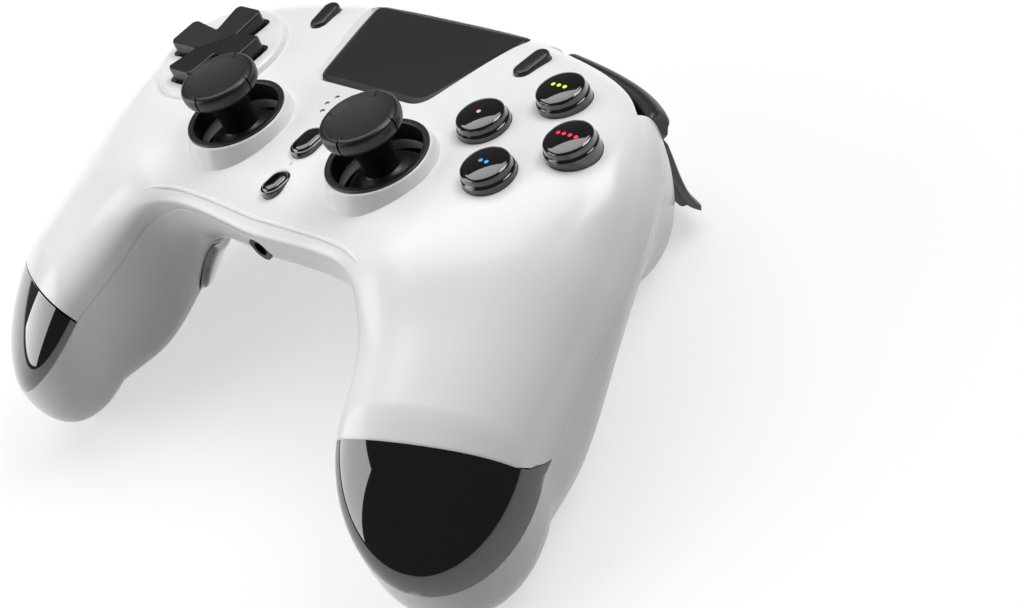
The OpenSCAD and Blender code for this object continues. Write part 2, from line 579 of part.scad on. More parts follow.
// torsion spring about x: a wire of radius w, coiled twice at radius r, with a straight leg at both ends
module coil(r, w, pitch, leg0, leg1) {
  steps = 32;
  sides = 8;
  path = [for (i = [-1:steps+1]) let (k = min(max(i, 0), steps), a = 90+720*k/steps,
    l = i < 0 ? -leg0 : i > steps ? leg1 : 0) [a, [pitch*(a-90)/360, r*cos(a)-l*sin(a), r*sin(a)+l*cos(a)]]];
  pts = [for (q = path) for (j = [0:sides-1]) let (b = 360*j/sides)
    q[1]+w*[sin(b), cos(b)*cos(q[0]), cos(b)*sin(q[0])]];
  e = (steps+2)*sides;
  polyhedron(pts, concat(
    [for (i = [0:steps+1]) for (j = [0:sides-1]) [i*sides+j, i*sides+(j+1)%sides, (i+1)*sides+(j+1)%sides]],
    [for (i = [0:steps+1]) for (j = [0:sides-1]) [i*sides+j, (i+1)*sides+(j+1)%sides, (i+1)*sides+j]],
    [[for (j = [sides-1:-1:0]) j]], [[for (j = [0:sides-1]) e+j]]));
}
module trigger_spring() translate([tx1-4.1, trig_y, trig_z]) coil(trig_r+0.75, 0.4, 1, 2.6, 7.4);
module right_trigger() rest() color(black) trigger();
module left_trigger() rest() color(black) mirror([1, 0, 0]) trigger();
module right_trigger_pin() rest() color(steel) trigger_pin_rod();
module left_trigger_pin() rest() color(steel) mirror([1, 0, 0]) trigger_pin_rod();
module right_trigger_frame() rest() color(black) trigger_frame();
module left_trigger_frame() rest() color(black) mirror([1, 0, 0]) trigger_frame();
module right_trigger_spring() rest() color(steel) trigger_spring();
module left_trigger_spring() rest() color(steel) mirror([1, 0, 0]) trigger_spring();
module right_back_button() rest() color(gloss) patch(1.7, 3.2, 0);
module left_back_button() rest() color(gloss) mirror([1, 0, 0]) patch(1.7, 3.2, 0);

// boards, battery, sockets, motors and screws
module main_board() rest() color(green) {
  union() {
    slab(-33, 33, -1, 36, main_z-board_thick, main_z);
    slab(-36*kx, 36*kx, 36, 45, main_z-board_thick, main_z);
    slab(-29.6, 29.6, -6.4, -0.9, main_z-board_thick, main_z);
    slab(-6, 6, -8.5, -6.3, main_z-board_thick, main_z);
  }
}
module battery() rest() color([0.25, 0.3, 0.4]) slab(-17, 17, 14, 41.4, -23.8, main_z-board_thick-0.2);
module usb_socket() rest() color(steel) difference() {
  translate([0, 50, usb_z]) rotate([90, 0, 0]) rotate(90) oval(3.4, 9.2, -1.8, 8);
  translate([0, 50, usb_z]) rotate([90, 0, 0]) rotate(90) oval(2.6, 8.4, -3, 6);
}
module audio_jack() rest() color(black) difference() {
  union() {
    slab(-3.2, 3.2, -13.6, -3.6, jack_z-2.7, jack_z+2.7);
    slab(-3.2, 3.2, -8.2, -3.6, main_z, jack_z);
    translate([0, 0, jack_z]) rod_y(3, -19.3, -13.5);
  }
  translate([0, 0, jack_z]) rod_y(jack_bore/2, -22, -6);
}
module slide_switch() rest() color(steel) translate([13, -5]) difference() {
  slab(-4.4, 4.4, -1.4, 1.4, -20.2, main_z-board_thick);
  slab(-3.4, 3.4, -0.9, 0.9, -22, -19);
}
module slide_switch_knob() rest() color(black) translate([13, -5]) slab(-2.4, 0.4, -0.8, 0.8, -23.6, -19.1);
module motor() translate(motor_at) { rod_y(motor_r, -16, 6); rod_y(1, -22, 7); }
module motor_weight() translate(motor_at) difference() {
  rod_y(motor_r-0.6, -21.6, -17);
  slab(-9, 9, -25, -10, 1.6, 9);
  rod_y(1.04, -25, -10);
}
module right_motor() rest() color(steel) motor();
module left_motor() rest() color(steel) mirror([1, 0, 0]) motor();
module right_motor_weight() rest() color(grey) motor_weight();
module left_motor_weight() rest() color(grey) mirror([1, 0, 0]) motor_weight();
module screw(p, z, long) translate(concat(p, [z])) difference() {
  union() { rod(2.6, -1.8, 0); rod(screw_r, -0.2, long); }
  rod(0.9, -3, -0.8);
}
module right_front_screw() rest() color(steel) screw(front_screw, front_seat, 13);
module left_front_screw() rest() color(steel) mirror([1, 0, 0]) screw(front_screw, front_seat, 13);
module right_grip_screw() rest() color(steel) screw(grip_screw, grip_seat, 13);
module left_grip_screw() rest() color(steel) mirror([1, 0, 0]) screw(grip_screw, grip_seat, 13);

front_shell();
rear_shell();
left_grip_cap();
right_grip_cap();
left_stick_bezel();
right_stick_bezel();
left_stick_base();
right_stick_base();
left_stick_rocker();
right_stick_rocker();
left_stick_arch();
right_stick_arch();
left_stick_shaft();
right_stick_shaft();
left_stick_cap();
right_stick_cap();
dpad();
dpad_pivot();
dpad_mat();
left_button_board();
right_button_board();
face_button_mat();
top_face_button();
right_face_button();
bottom_face_button();
left_face_button();
home_button();
mode_button();
share_button();
options_button();
status_lights();
touch_pad();
upper_board();
light_bar();
left_bumper();
right_bumper();
left_trigger();
right_trigger();
left_trigger_pin();
right_trigger_pin();
left_trigger_spring();
right_trigger_spring();
left_trigger_frame();
right_trigger_frame();
left_back_button();
right_back_button();
main_board();
battery();
usb_socket();
audio_jack();
slide_switch();
slide_switch_knob();
left_motor();
right_motor();
left_motor_weight();
right_motor_weight();
left_front_screw();
right_front_screw();
left_grip_screw();
right_grip_screw();
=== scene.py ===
"""Looks of a two-stick gamepad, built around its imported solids."""
import math
from contextlib import contextmanager

import bmesh
import bpy
import numpy as np
from bpy.props import FloatProperty, FloatVectorProperty, IntProperty, PointerProperty
from mathutils import Matrix, Vector
from mathutils.bvhtree import BVHTree


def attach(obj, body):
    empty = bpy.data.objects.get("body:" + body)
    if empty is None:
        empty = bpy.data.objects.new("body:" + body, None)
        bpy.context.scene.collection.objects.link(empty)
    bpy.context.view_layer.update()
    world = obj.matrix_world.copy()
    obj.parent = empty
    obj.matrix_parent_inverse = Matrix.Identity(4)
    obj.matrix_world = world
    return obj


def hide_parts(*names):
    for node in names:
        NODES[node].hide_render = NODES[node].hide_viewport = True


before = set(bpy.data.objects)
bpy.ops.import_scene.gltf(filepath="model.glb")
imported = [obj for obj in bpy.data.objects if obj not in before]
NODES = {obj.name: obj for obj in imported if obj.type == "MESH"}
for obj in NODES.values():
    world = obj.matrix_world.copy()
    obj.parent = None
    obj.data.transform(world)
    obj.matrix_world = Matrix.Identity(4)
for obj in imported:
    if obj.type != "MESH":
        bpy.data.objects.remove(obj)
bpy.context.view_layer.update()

bl_info = {
    "name": "Two-stick gamepad",
    "version": (1, 0, 0),
    "blender": (4, 5, 0),
    "location": "View3D > Sidebar > Gamepad",
    "description": "Dresses the solids of a gamepad with smooth shells, controls and finishes",
    "category": "Object",
}

MM = 0.001
HOUSING = "housing"

# how the flat face of the pad lies when it rests on its grips, in degrees and millimetres
TILT = math.radians(10.32)
REST_Y, REST_Z = 8.54, 49.9

# housing stations from a grip's end to the middle of the rear, as in the solids
# inner seam x y z, outer seam x y z, face height in and out, belly depth in and out,
# fullness of the face in and out, fullness of the belly in and out, dip of the face at the front
STATIONS = np.array([
    [45, -45.5, -24, 82, -30.5, -33, 12, 15, 30, 22, 2.2, 2.2, 2.5, 2.2, 0],
    [41, -33, -18.5, 80.5, -14, -26.5, 12.5, 14.5, 34.5, 30.5, 2.3, 2.3, 2.4, 1.85, 0],
    [35.5, -24, -11.6, 78.8, 5.5, -20, 11.2, 15, 33.5, 31, 3, 2.5, 2.3, 1.35, 2],
    [28, -19.5, -8.4, 73.8, 24.5, -15.2, 8.4, 14.8, 21.8, 31, 5, 3, 2.3, 1.4, 4],
    [19.5, -18.6, -7.7, 60.6, 42.5, -13, 7.7, 13, 15.6, 44.5, 6, 3.5, 2.6, 2.3, 5],
    [9.6, -19.2, -7.6, 32.7, 51, -11.5, 7.6, 11.2, 13.6, 28, 6, 4, 2.8, 2.8, 5],
    [0, -19.8, -7.6, 0, 52.9, -11.5, 7.6, 11.2, 13.6, 24, 6, 4, 2.8, 2.8, 5]], float)
MIRROR = np.array([-1, 1, 1, -1] + [1] * 11, float)
LAST = len(STATIONS) - 1
SPAN = np.vstack([2 * STATIONS[0] - STATIONS[1], STATIONS, STATIONS[LAST - 1] * MIRROR])
GRIP_AXIS = np.array([5, -21, -14.5])
DIP_END = 0.33
FACE, BELLY = 1, -1
# bow of the line between the face and a grip's cap, in stations: at the seams, across the middle and at its
# outer upturn, the angle at which the upturn starts in degrees, and how far along the grip the bow dies out
BOW_SEAM, BOW_MIDDLE, BOW_UPTURN, BOW_START, BOW_FADE = -0.02, -0.12, 0.24, 140, 0.9
# steps across a shell, rows from one station to the next, and the slit beside a grip's cap in stations
SHELL_COLUMNS, SHELL_ROWS, CAP_SLIT = 64, 15, 0.012

# controls on the face, in millimetres
STICK_X, STICK_Y, PIVOT_Z = 23.0, 2.5, -11.0
GROUP_X, GROUP_Y, GROUP_HOLE, BUTTON_GAP = 49.0, 20.0, 15.5, 0.6
PAD_Y, PAD_Z, PAD_TILT = 47.0, -6.6, math.radians(-4.6)
PILL_AT, PILL_TURN, PILL_WIDE = (33.0, 40.0), math.radians(-9), 4.2
# oval keys: y, width, length, height of the top and of the seat under the shell
KEYS = {"home_button": (2.6, 6.4, 8.8, 1.4, -3.2), "mode_button": (-8.8, 5.4, 7.4, -0.7, -4.4)}
KEY_GAP = 0.3
# x, y and radius of the microphone's hole and the three status lights
FACE_HOLES = [(0, -3.3, 0.5), (-5.6, 12.2, 0.65), (-6.5, 14.6, 0.65), (-5.6, 17.0, 0.65)]
# lower and upper end of the tools that cut the face
FACE_CUT = (-9, 6)

# collars of the sticks, pedestal of the cross pad and bead along the front lip
COLLAR_FOOT, COLLAR_TOP = 13.9, 2.6
PEDESTAL_R, PEDESTAL_FOOT, PEDESTAL_BORE, PEDESTAL_TOP = 15.9, 17.6, 14.6, 1.4
LIP_ANGLE, LIP_START, LIP_TAPER, LIP_R, LIP_SINK = math.radians(38), 2.1, 0.9, 0.55, 0.2

# thumbsticks: radii of the domed skirt about the pivot, turn and half width of the rim's notches in degrees
DOME_OUT, DOME_IN, NOTCH_TURN, NOTCH_HALF = 11.5, 10.8, 12, 1.45
# arms of the cross pad: half width in the middle, near the end and at the tip, and how much an arm widens
ARM_IN, ARM_OUT, ARM_TIP, ARM_FLARE = 3.3, 4.4, 3.4, 1.1
# height of the cross pad's middle and its rise for each millimetre outwards
CROSS_TOP, CROSS_RISE = 3.9, 0.09
# face buttons: height of the crown and its fall towards the edge
CROWN_TOP, CROWN_FALL = 3.75, 0.5

# sockets, reset hole, power switch and screws of the rear shell
JACK_Z, JACK_WIDE = -11.2, 6.1
USB_Z, USB_SLOT = -19.8, (4.0, 9.8)
RESET_HOLE = (5.5, -5.5, 0.9)
SWITCH_SLOT = (9.9, -6.3, -28), (16.1, -3.7, -19)
# place of each screw, height of its seat and of the foot of the tool that cuts its well
SCREWS = (((34.0, -9.5), -19.0, -60), ((61.0, -33.0), -38.0, -80))
WELL_R, SHANK_R, BOSS_R, BOSS_HIGH, WELL_INSET, BELOW = 2.9, 1.6, 4.4, 8, 0.9, -99

# back paddles: start and run along the pad, middle angle across the belly and half the spread in degrees
PADDLE_START, PADDLE_RUN, PADDLE_ANGLE, PADDLE_HALF = 2.82, 0.78, 68, 16

# where the rear controls lie along the outer seam, and their outlines as outwards and height
BUMPER_RUN, TRIGGER_RUN, SEAM_GAP, GAP = (3.7, 5.06), (3.46, 5.06), 0.0148, 0.4
BUMPER_AT, BUMPER_REACH = (31.0, 44.6), 33.4
TRIGGER_IN, TRIGGER_OUT = 33.6, 61.4
TRIGGER_PIN_AT, TRIGGER_HUB, HUB_WALL = (37.5, -19), (40.2, 51), 1.6
RIB_STARTS, RIB_RUN = (4.3, 4.55), 0.07
BUMPER_CUT = [(-3.1, 2), (-3.1, -7.1), (-5.4, -7.6), (-5.4, -14), (4, -14), (4, 2)]
TRIGGER_CUT = [(-9, -37.5), (-9, -17.6), (3, -17.6), (3, -37.5)]
BUMPER_BAR = [(-2.5, -8.8), (-2.4, -13.6), (1.4, -13.6), (2, -12.1), (2.7, -11.4), (2.4, -8.8), (1.2, -7.1),
              (-0.6, -6.5), (-1.9, -7.6)]
TRIGGER_PLATE = [(-1.4, -18), (-1.3, -23), (-0.9, -28), (-0.2, -33), (1.2, -36), (3.2, -38.8), (4, -38.1),
                 (2.9, -35.6), (1.9, -32), (1.4, -27), (1.3, -22), (1.1, -18)]
TRIGGER_RIB = [(-13, -17.8), (-9, -16.4), (-0.4, -18.2), (0.2, -26.5), (0.4, -30), (-2.4, -26), (-8, -22.6),
               (-13, -20)]
TRIGGER_WEB = [(-0.6, -18.4), (0, -25), (1, -34), (-0.6, -33), (-2.6, -27.5), (-3.4, -18.4)]

# light bar between the bumpers: middle height, half height, how far it stands out and reaches in, and the
# edges of the two shells above and below it
STRIP_Z, STRIP_HALF, STRIP_OUT, STRIP_IN = -13.55, 1.65, 0.45, -3
STRIP_TOP, STRIP_FOOT = -11.5, -15.3

# angle in degrees past which an edge is sharp, distances at which points are merged, and a length near nought
SMOOTH_ANGLE, MERGE_M, MERGE_MM, TINY = 34, 1e-6, 1e-4, 1e-12

# camera on the flat face in millimetres, its roll, and its focal length and optical centre in pixels
EYE, TARGET, ROLL = np.array([287.2, -156.1, 203.6]), np.array([75.89, -21.0, 0.0]), math.radians(-24.8)
IMAGE_W, IMAGE_H, FOCAL_PX, CENTRE_PX, SENSOR = 1024, 608, 1812.27, (495.37, 309.31), 36
# lamps: place, width and height in metres and power in watts
LAMPS = {
    "overhead": ((-0.4, 0.45, 1.1), 1.2, 0.9, 8.6),
    "left_panel": ((-0.85, -0.72, 0.5), 0.95, 0.9, 8.2),
    "rear_right": ((0.45, 0.85, 1.0), 0.8, 0.6, 9.6),
}
LAMP_AIM = (0.03, 0, 0.03)
# floor: radius in metres, grey that takes the shadow, and the light that it shows of itself
FLOOR_R, FLOOR_GREY, FLOOR_GLOW = 5, (0.4, 0.4, 0.4, 1), 0.62
STUDIO_GREY = (0.1, 0.1, 0.103, 1)


def linear(code):
    """Linear colour of an sRGB hex value"""
    parts = [int(code[k:k + 2], 16) / 255 for k in (1, 3, 5)]
    return tuple(c / 12.92 if c < 0.04045 else ((c + 0.055) / 1.055) ** 2.4 for c in parts)


def size(name, text, default):
    """A length that a user may change, in metres with a default given in millimetres"""
    return FloatProperty(name=name, description=text, default=default * MM, unit="LENGTH", precision=5)


def colour(name, text, code):
    """A colour that a user may change, with a default given as sRGB hex"""
    return FloatVectorProperty(name=name, description=text, default=linear(code), size=3, subtype="COLOR",
                               min=0, max=1)


class GamepadSizes(bpy.types.PropertyGroup):
    """Sizes of the dressed pieces"""

    wall: size("Wall", "Wall of the moulded shells", 2.2)
    parting: size("Parting line", "Depth of the bevel along the seam of the shells", 0.16)
    cap: size("Stick cap", "Diameter of a stick's cap", 17.5)
    notch: size("Rim notch", "Depth of the four notches in a stick's rim", 0.35)
    hole: size("Stick hole", "Radius of the hole in a stick's collar", 10.8)
    button: size("Face button", "Diameter of a face button's cap", 10.6)
    pitch: size("Button pitch", "Distance of a face button from the middle of its group", 12.0)
    cross: size("Cross pad", "Length of the cross pad from tip to tip", 24.4)
    pill: size("Pill", "Length of the pill buttons", 9.2)
    dot: size("Dot", "Radius of a dot on a face button", 0.48)
    dot_step: size("Dot step", "Distance between the dots of a row", 1.55)
    trigger_pin: size("Trigger pin", "Diameter of the pin that a trigger turns on", 3.1)
    around: IntProperty(name="Segments", description="Steps around a turned piece", default=96, min=24)


class GamepadColours(bpy.types.PropertyGroup):
    """Colours of the finishes"""

    shell: colour("Shell", "White of the moulded shells", "#F1F1F2")
    gloss: colour("Gloss", "Black of the polished pieces", "#060607")
    satin: colour("Satin", "Black of the satin pieces", "#111113")
    rubber: colour("Rubber", "Black of the thumb rests", "#151517")
    rose: colour("First dots", "Dots of the left button", "#F08AD8")
    azure: colour("Second dots", "Dots of the bottom button", "#1E96F0")
    lime: colour("Third dots", "Dots of the top button", "#D2E61E")
    scarlet: colour("Fourth dots", "Dots of the right button", "#F01E32")


def unit(v, least=0.0):
    """Vectors of length 1; least keeps one of no length from a division by nought"""
    return v / (np.linalg.norm(v, axis=-1, keepdims=True) + least)


def laid(v):
    """Directions on the flat face, turned as the pad lies"""
    c, s = math.cos(TILT), math.sin(TILT)
    return np.stack([v[..., 0], v[..., 1] * c + v[..., 2] * s, v[..., 2] * c - v[..., 1] * s], -1)


def place(points):
    """Places in the shared frame, in metres, of points given on the flat face in millimetres"""
    return (laid(np.asarray(points, float)) + (0, REST_Y, REST_Z)) * MM


def full_turn(steps):
    """Angles of a full turn"""
    return np.linspace(0, 2 * math.pi, steps, endpoint=False)


def quarter(k, r):
    """Place of one of four things on a circle"""
    a = k * math.pi / 2
    return r * math.cos(a), r * math.sin(a)


def station(t):
    """Values of the housing at t, which runs from 0 at a grip to LAST in the middle"""
    k = np.minimum(np.floor(t).astype(int), LAST - 1)
    u = (t - k)[..., None]
    p, q, r, s = SPAN[k], SPAN[k + 1], SPAN[k + 2], SPAN[k + 3]
    square, cube = 2 * p - 5 * q + 4 * r - s, 3 * q - p - 3 * r + s
    return 0.5 * (2 * q + (r - p) * u + square * u ** 2 + cube * u ** 3)


def skin(t, a, half, deep=0.0):
    """Point of the housing's skin: t along the pad, a from the inner seam to the outer one in radians"""
    t, a = (np.array(v, float) for v in np.broadcast_arrays(t, a))
    flip = np.where(t > LAST, -1.0, 1.0)
    t = np.where(t > LAST, 2 * LAST - t, t)
    # the line between the face and a grip's cap bows across the grip and turns up at the outer seam
    upturn = np.maximum(0, (np.degrees(a) - BOW_START) / (180 - BOW_START)) ** 5
    bow = BOW_SEAM + BOW_MIDDLE * np.sin(a) + BOW_UPTURN * upturn
    t = t + np.maximum(0, 1 - np.abs(t) / BOW_FADE) * bow
    v = station(np.maximum(t, 0))
    inner, outer = v[..., 0:3], v[..., 3:6]
    across = outer - inner
    inset = unit(across) * deep
    k = 0 if half > 0 else 2
    e = 2 / (v[..., 10 + k] + (v[..., 11 + k] - v[..., 10 + k]) * a / math.pi)
    c = np.cos(a)
    f = 0.5 - 0.5 * np.sign(c) * np.abs(c) ** e
    high = v[..., 6 + k] + (v[..., 7 + k] - v[..., 6 + k]) * f - deep
    if half > 0:
        high = high - v[..., 14] * np.maximum(0, 1 - f / DIP_END) ** 2
    p = inner + inset + (across - 2 * inset) * f[..., None]
    p[..., 2] += half * high * np.abs(np.sin(a)) ** e
    middle = (inner + outer) / 2
    turn = (math.pi / 2 * (1 + t))[..., None]
    reach = GRIP_AXIS * (1 - deep / np.linalg.norm(GRIP_AXIS))
    p = np.where((t < 0)[..., None], middle + (p - middle) * np.sin(turn) + reach * np.cos(turn), p)
    p[..., 0] *= flip
    return p


def around(columns):
    """Angles that share out full sections and round ones evenly"""
    a = np.linspace(0, math.pi, 4001)
    total = np.zeros(len(a))
    for e in (1, 0.6, 0.34):
        f, h = np.sign(np.cos(a)) * np.abs(np.cos(a)) ** e, 0.5 * np.sin(a) ** e
        total[1:] += np.cumsum(np.hypot(np.diff(f), np.diff(h)))
    return np.interp(np.linspace(0, total[-1], columns + 1), total, a)


def seam(t, out, z):
    """Point beside the outer seam: out is the distance outwards, z the height"""
    t, out, z = np.broadcast_arrays(np.asarray(t, float), out, z)
    o = skin(t, math.pi, FACE)
    d = skin(t + 0.04, math.pi, FACE) - skin(t - 0.04, math.pi, FACE)
    n = unit(np.stack([d[..., 1], -d[..., 0]], -1))
    return np.stack([o[..., 0] + n[..., 0] * out, o[..., 1] + n[..., 1] * out, z], -1)


def where(outline, run, test):
    """Places along the outer seam, one for each point of an outline, at which test falls to zero"""
    out = np.asarray(outline, float)[:, 0]
    low, high = (np.full(len(out), v) for v in run)
    for _ in range(40):
        t = (low + high) / 2
        over = test(seam(t, out, 0.0)) > 0
        low, high = np.where(over, t, low), np.where(over, high, t)
    return low


def bumper_ends(outline, grow=0.0):
    """Run of a bumper or its opening, whose outer end lies on a cylinder about the bumper's pivot"""
    x, y = BUMPER_AT
    first = where(outline, BUMPER_RUN, lambda p: np.hypot(p[:, 0] - x, p[:, 1] - y) - BUMPER_REACH - grow)
    return first, BUMPER_RUN[1] + grow / GAP * SEAM_GAP


def trigger_ends(outline, grow=0.0, inner=TRIGGER_IN, outer=TRIGGER_OUT):
    """Run of a trigger or its opening between two upright planes"""
    return [where(outline, TRIGGER_RUN, lambda p: p[:, 0] - x) for x in (outer + grow, inner - grow)]


def rounded(points, radius, steps=4, closed=True):
    """Polyline with its corners rounded off"""
    pts = [np.asarray(p, float) for p in points]
    radii = radius if isinstance(radius, (list, tuple)) else [radius] * len(pts)
    out = []
    for k, p in enumerate(pts):
        if not closed and k in (0, len(pts) - 1) or radii[k] <= 0:
            out.append(p)
            continue
        before, after = pts[k - 1] - p, pts[(k + 1) % len(pts)] - p
        lb, la = np.linalg.norm(before), np.linalg.norm(after)
        r = min(radii[k], 0.48 * lb, 0.48 * la)
        b, a = p + before / lb * r, p + after / la * r
        for u in np.linspace(0, 1, steps + 1):
            out.append(b * (1 - u) ** 2 + 2 * p * u * (1 - u) + a * u * u)
    return np.array(out)


def resampled(points, step):
    """Closed polyline with extra points so that no edge is longer than step"""
    out = []
    for k, p in enumerate(points):
        q = points[(k + 1) % len(points)]
        n = max(1, math.ceil(np.linalg.norm(q - p) / step))
        out += [p + (q - p) * j / n for j in range(n)]
    return np.array(out)


def outwards(outline):
    """Unit normals of a closed outline that runs anticlockwise"""
    d = np.roll(outline, -1, 0) - np.roll(outline, 1, 0)
    return unit(np.stack([d[:, 1], -d[:, 0]], -1))


def oval(x, y, n=20):
    """Outline of a slot x wide and y long"""
    a = np.linspace(0, math.pi, n)
    top = np.stack([np.cos(a) * x / 2, np.sin(a) * x / 2 + (y - x) / 2], -1)
    return np.vstack([top, -top])


def cross_outline(length, grow=0.0):
    """Outline of the cross pad, whose arms widen outwards"""
    end, flare = length / 2 + grow, ARM_FLARE / (length / 2)
    c = (ARM_IN + grow + flare) / (1 - flare)
    out, tip = ARM_OUT + grow, ARM_TIP + grow
    arm = [(c, -c), (end - 1, -out), (end, -tip), (end, tip), (end - 1, out)]
    pts = []
    for co, si in ((1, 0), (0, 1), (-1, 0), (0, -1)):
        pts += [(co * x - si * y, si * x + co * y) for x, y in arm]
    return pts


class Shape:
    """Points in millimetres on the face's frame, with faces that each carry a finish number"""

    def __init__(self):
        self.points, self.faces, self.finish, self.count = [], [], [], 0

    def add(self, points, faces):
        """Adds a part, whose faces carry finish 0 at first"""
        points = np.asarray(points, float).reshape(-1, 3)
        self.points.append(points)
        self.faces += [tuple(int(i) + self.count for i in f) for f in faces]
        self.finish += [0] * len(faces)
        self.count += len(points)
        return self

    def net(self, rows, loop=False):
        """Adds a net of closed rows; loop joins the last row to the first, else both are filled"""
        rows = np.asarray(rows, float)
        m, n = rows.shape[:2]
        faces = []
        for i in range(m if loop else m - 1):
            for k in range(n):
                a, b = i * n + k, i * n + (k + 1) % n
                c, d = ((i + 1) % m) * n + (k + 1) % n, ((i + 1) % m) * n + k
                faces.append((a, b, c, d))
        if not loop:
            faces.append(tuple(range(n - 1, -1, -1)))
            faces.append(tuple((m - 1) * n + k for k in range(n)))
        return self.add(rows, faces)

    def turned(self, profile, centre, steps, closed=False):
        """Adds a turned part about a vertical axis, from radius and height; steps is a count or the angles"""
        a = full_turn(steps) if isinstance(steps, int) else steps
        r, z = np.asarray(profile, float).T[:, :, None]
        rows = np.stack([r * np.cos(a) + centre[0], r * np.sin(a) + centre[1], z + 0 * a], -1)
        return self.net(rows, closed)

    def stacked(self, outline, layers, move=None):
        """Adds an outline stacked in layers of growth and height; move takes the points to their place"""
        n = outwards(outline)
        rows = np.array([np.column_stack([outline + n * g, np.full(len(outline), z)]) for g, z in layers])
        return self.net(rows if move is None else move(rows))

    def bar(self, outline, run, steps, ends=0.0):
        """Adds a bar along the outer seam; ends is the radius that its ends are rounded by"""
        o = np.asarray(outline, float)
        first, last = (np.broadcast_to(r, len(o)) for r in run)
        share = 0.5 - 0.5 * np.cos(math.pi * np.linspace(0, 1, steps + 1))
        t = first.mean() + (last.mean() - first.mean()) * share
        along = np.linalg.norm(np.diff(skin(t, math.pi, FACE), axis=0), axis=1)
        s = np.concatenate([[0], np.cumsum(along)])
        n = outwards(o)
        rows = []
        for u, reach in zip(share, np.minimum(s, s[-1] - s)):
            cut = 0.0 if reach >= ends else ends - math.sqrt(max(0, ends ** 2 - (ends - reach) ** 2))
            p = o - n * cut * 0.6
            rows.append(seam(first + (last - first) * u, p[:, 0], p[:, 1]))
        return self.net(rows)

    def box(self, low, high):
        """Adds a plain block for parts that stay inside"""
        (x0, y0, z0), (x1, y1, z1) = low, high
        rows = [[(x0, y0, z), (x1, y0, z), (x1, y1, z), (x0, y1, z)] for z in (z0, z1)]
        return self.net(rows)

    def all_points(self):
        """All points as one array"""
        return np.vstack(self.points)


@contextmanager
def edited(mesh):
    """Editable copy of a mesh, which is written back at the end"""
    bm = bmesh.new()
    bm.from_mesh(mesh)
    yield bm
    bm.to_mesh(mesh)
    bm.free()


def closed_mesh(name, shape, points, merge):
    """Mesh of a shape with outward faces, in which points closer than merge are one"""
    mesh = bpy.data.meshes.new(name)
    mesh.from_pydata([tuple(p) for p in points], [], shape.faces)
    mesh.polygons.foreach_set("material_index", shape.finish)
    with edited(mesh) as bm:
        bmesh.ops.remove_doubles(bm, verts=bm.verts, dist=merge)
        bmesh.ops.dissolve_degenerate(bm, edges=bm.edges, dist=1e-7)
        bmesh.ops.recalc_face_normals(bm, faces=bm.faces)
    return mesh


def shade(mesh, angle=SMOOTH_ANGLE):
    """Smooth faces with sharp edges where the surface turns by more than angle or changes its finish"""
    limit = math.radians(angle)
    with edited(mesh) as bm:
        for f in bm.faces:
            f.smooth = True
        for e in bm.edges:
            kinds = {f.material_index for f in e.link_faces}
            e.smooth = len(e.link_faces) == 2 and e.calc_face_angle(0) < limit and len(kinds) == 1


def linked(name, data):
    """Object of some data, in the scene"""
    obj = bpy.data.objects.new(name, data)
    bpy.context.scene.collection.objects.link(obj)
    return obj


def piece(name, body, looks, mesh, replaced=()):
    """Makes an object of a mesh, gives it its finishes and lets it ride on a body"""
    obj = linked(name, mesh)
    for m in looks:
        mesh.materials.append(m)
    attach(obj, body)
    if replaced:
        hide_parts(*replaced)


def formed(name, body, looks, shape, replaced=(), angle=SMOOTH_ANGLE):
    """Makes a piece from a shape that is given on the face's frame"""
    mesh = closed_mesh(name, shape, place(shape.all_points()), MERGE_M)
    shade(mesh, angle)
    piece(name, body, looks, mesh, replaced)


def mirrored(shape):
    """The same shape on the left side"""
    twin = Shape()
    twin.add(shape.all_points() * [-1, 1, 1], [f[::-1] for f in shape.faces])
    twin.finish = list(shape.finish)
    return twin


def shell_net(rows, half, wall, parting, tips):
    """Hollow half of the housing: finish 0 is the outer skin, 1 the inner skin and 2 the edges"""
    t, a = np.meshgrid(rows, around(SHELL_COLUMNS), indexing="ij")
    outer, inner = skin(t, a, half), skin(t, a, half, wall)
    inwards = inner[:, [0, -1]] - outer[:, [0, -1]]
    outer[:, [0, -1]] += inwards / wall * parting
    shape = Shape()
    m, n = t.shape
    quads = [(i * n + k, (i + 1) * n + k, (i + 1) * n + k + 1, i * n + k + 1)
             for i in range(m - 1) for k in range(n - 1)]
    tris = [f for q in quads for f in ((q[0], q[1], q[2]), (q[0], q[2], q[3]))]
    shape.add(np.concatenate([outer.reshape(-1, 3), inner.reshape(-1, 3)]), tris)
    shift = m * n
    shape.faces += [tuple(i + shift for i in f[::-1]) for f in tris]
    rim = []
    for i in range(m - 1):
        for k in (0, n - 1):
            rim.append((i * n + k, (i + 1) * n + k, shift + (i + 1) * n + k, shift + i * n + k))
    for row, tip in ((0, tips[0]), (m - 1, tips[1])):
        ring = [row * n + k for k in range(n)]
        if tip:
            rim += [tuple(ring), tuple(shift + i for i in ring[::-1])]
            rim.append((ring[0], ring[-1], shift + ring[-1], shift + ring[0]))
        else:
            rim += [(ring[k], ring[k + 1], shift + ring[k + 1], shift + ring[k]) for k in range(n - 1)]
    shape.faces += rim
    shape.finish += [1] * len(tris) + [2] * len(rim)
    normal = np.cross(np.gradient(outer, axis=0), np.gradient(outer, axis=1)).reshape(-1, 3)
    normal = unit(normal, TINY)
    outer = outer.reshape(-1, 3)
    out = outer - skin(t, a, half, 4.0).reshape(-1, 3)
    normal *= np.sign((out * normal).sum(1))[:, None]
    return shape, (outer, np.array(tris), normal)


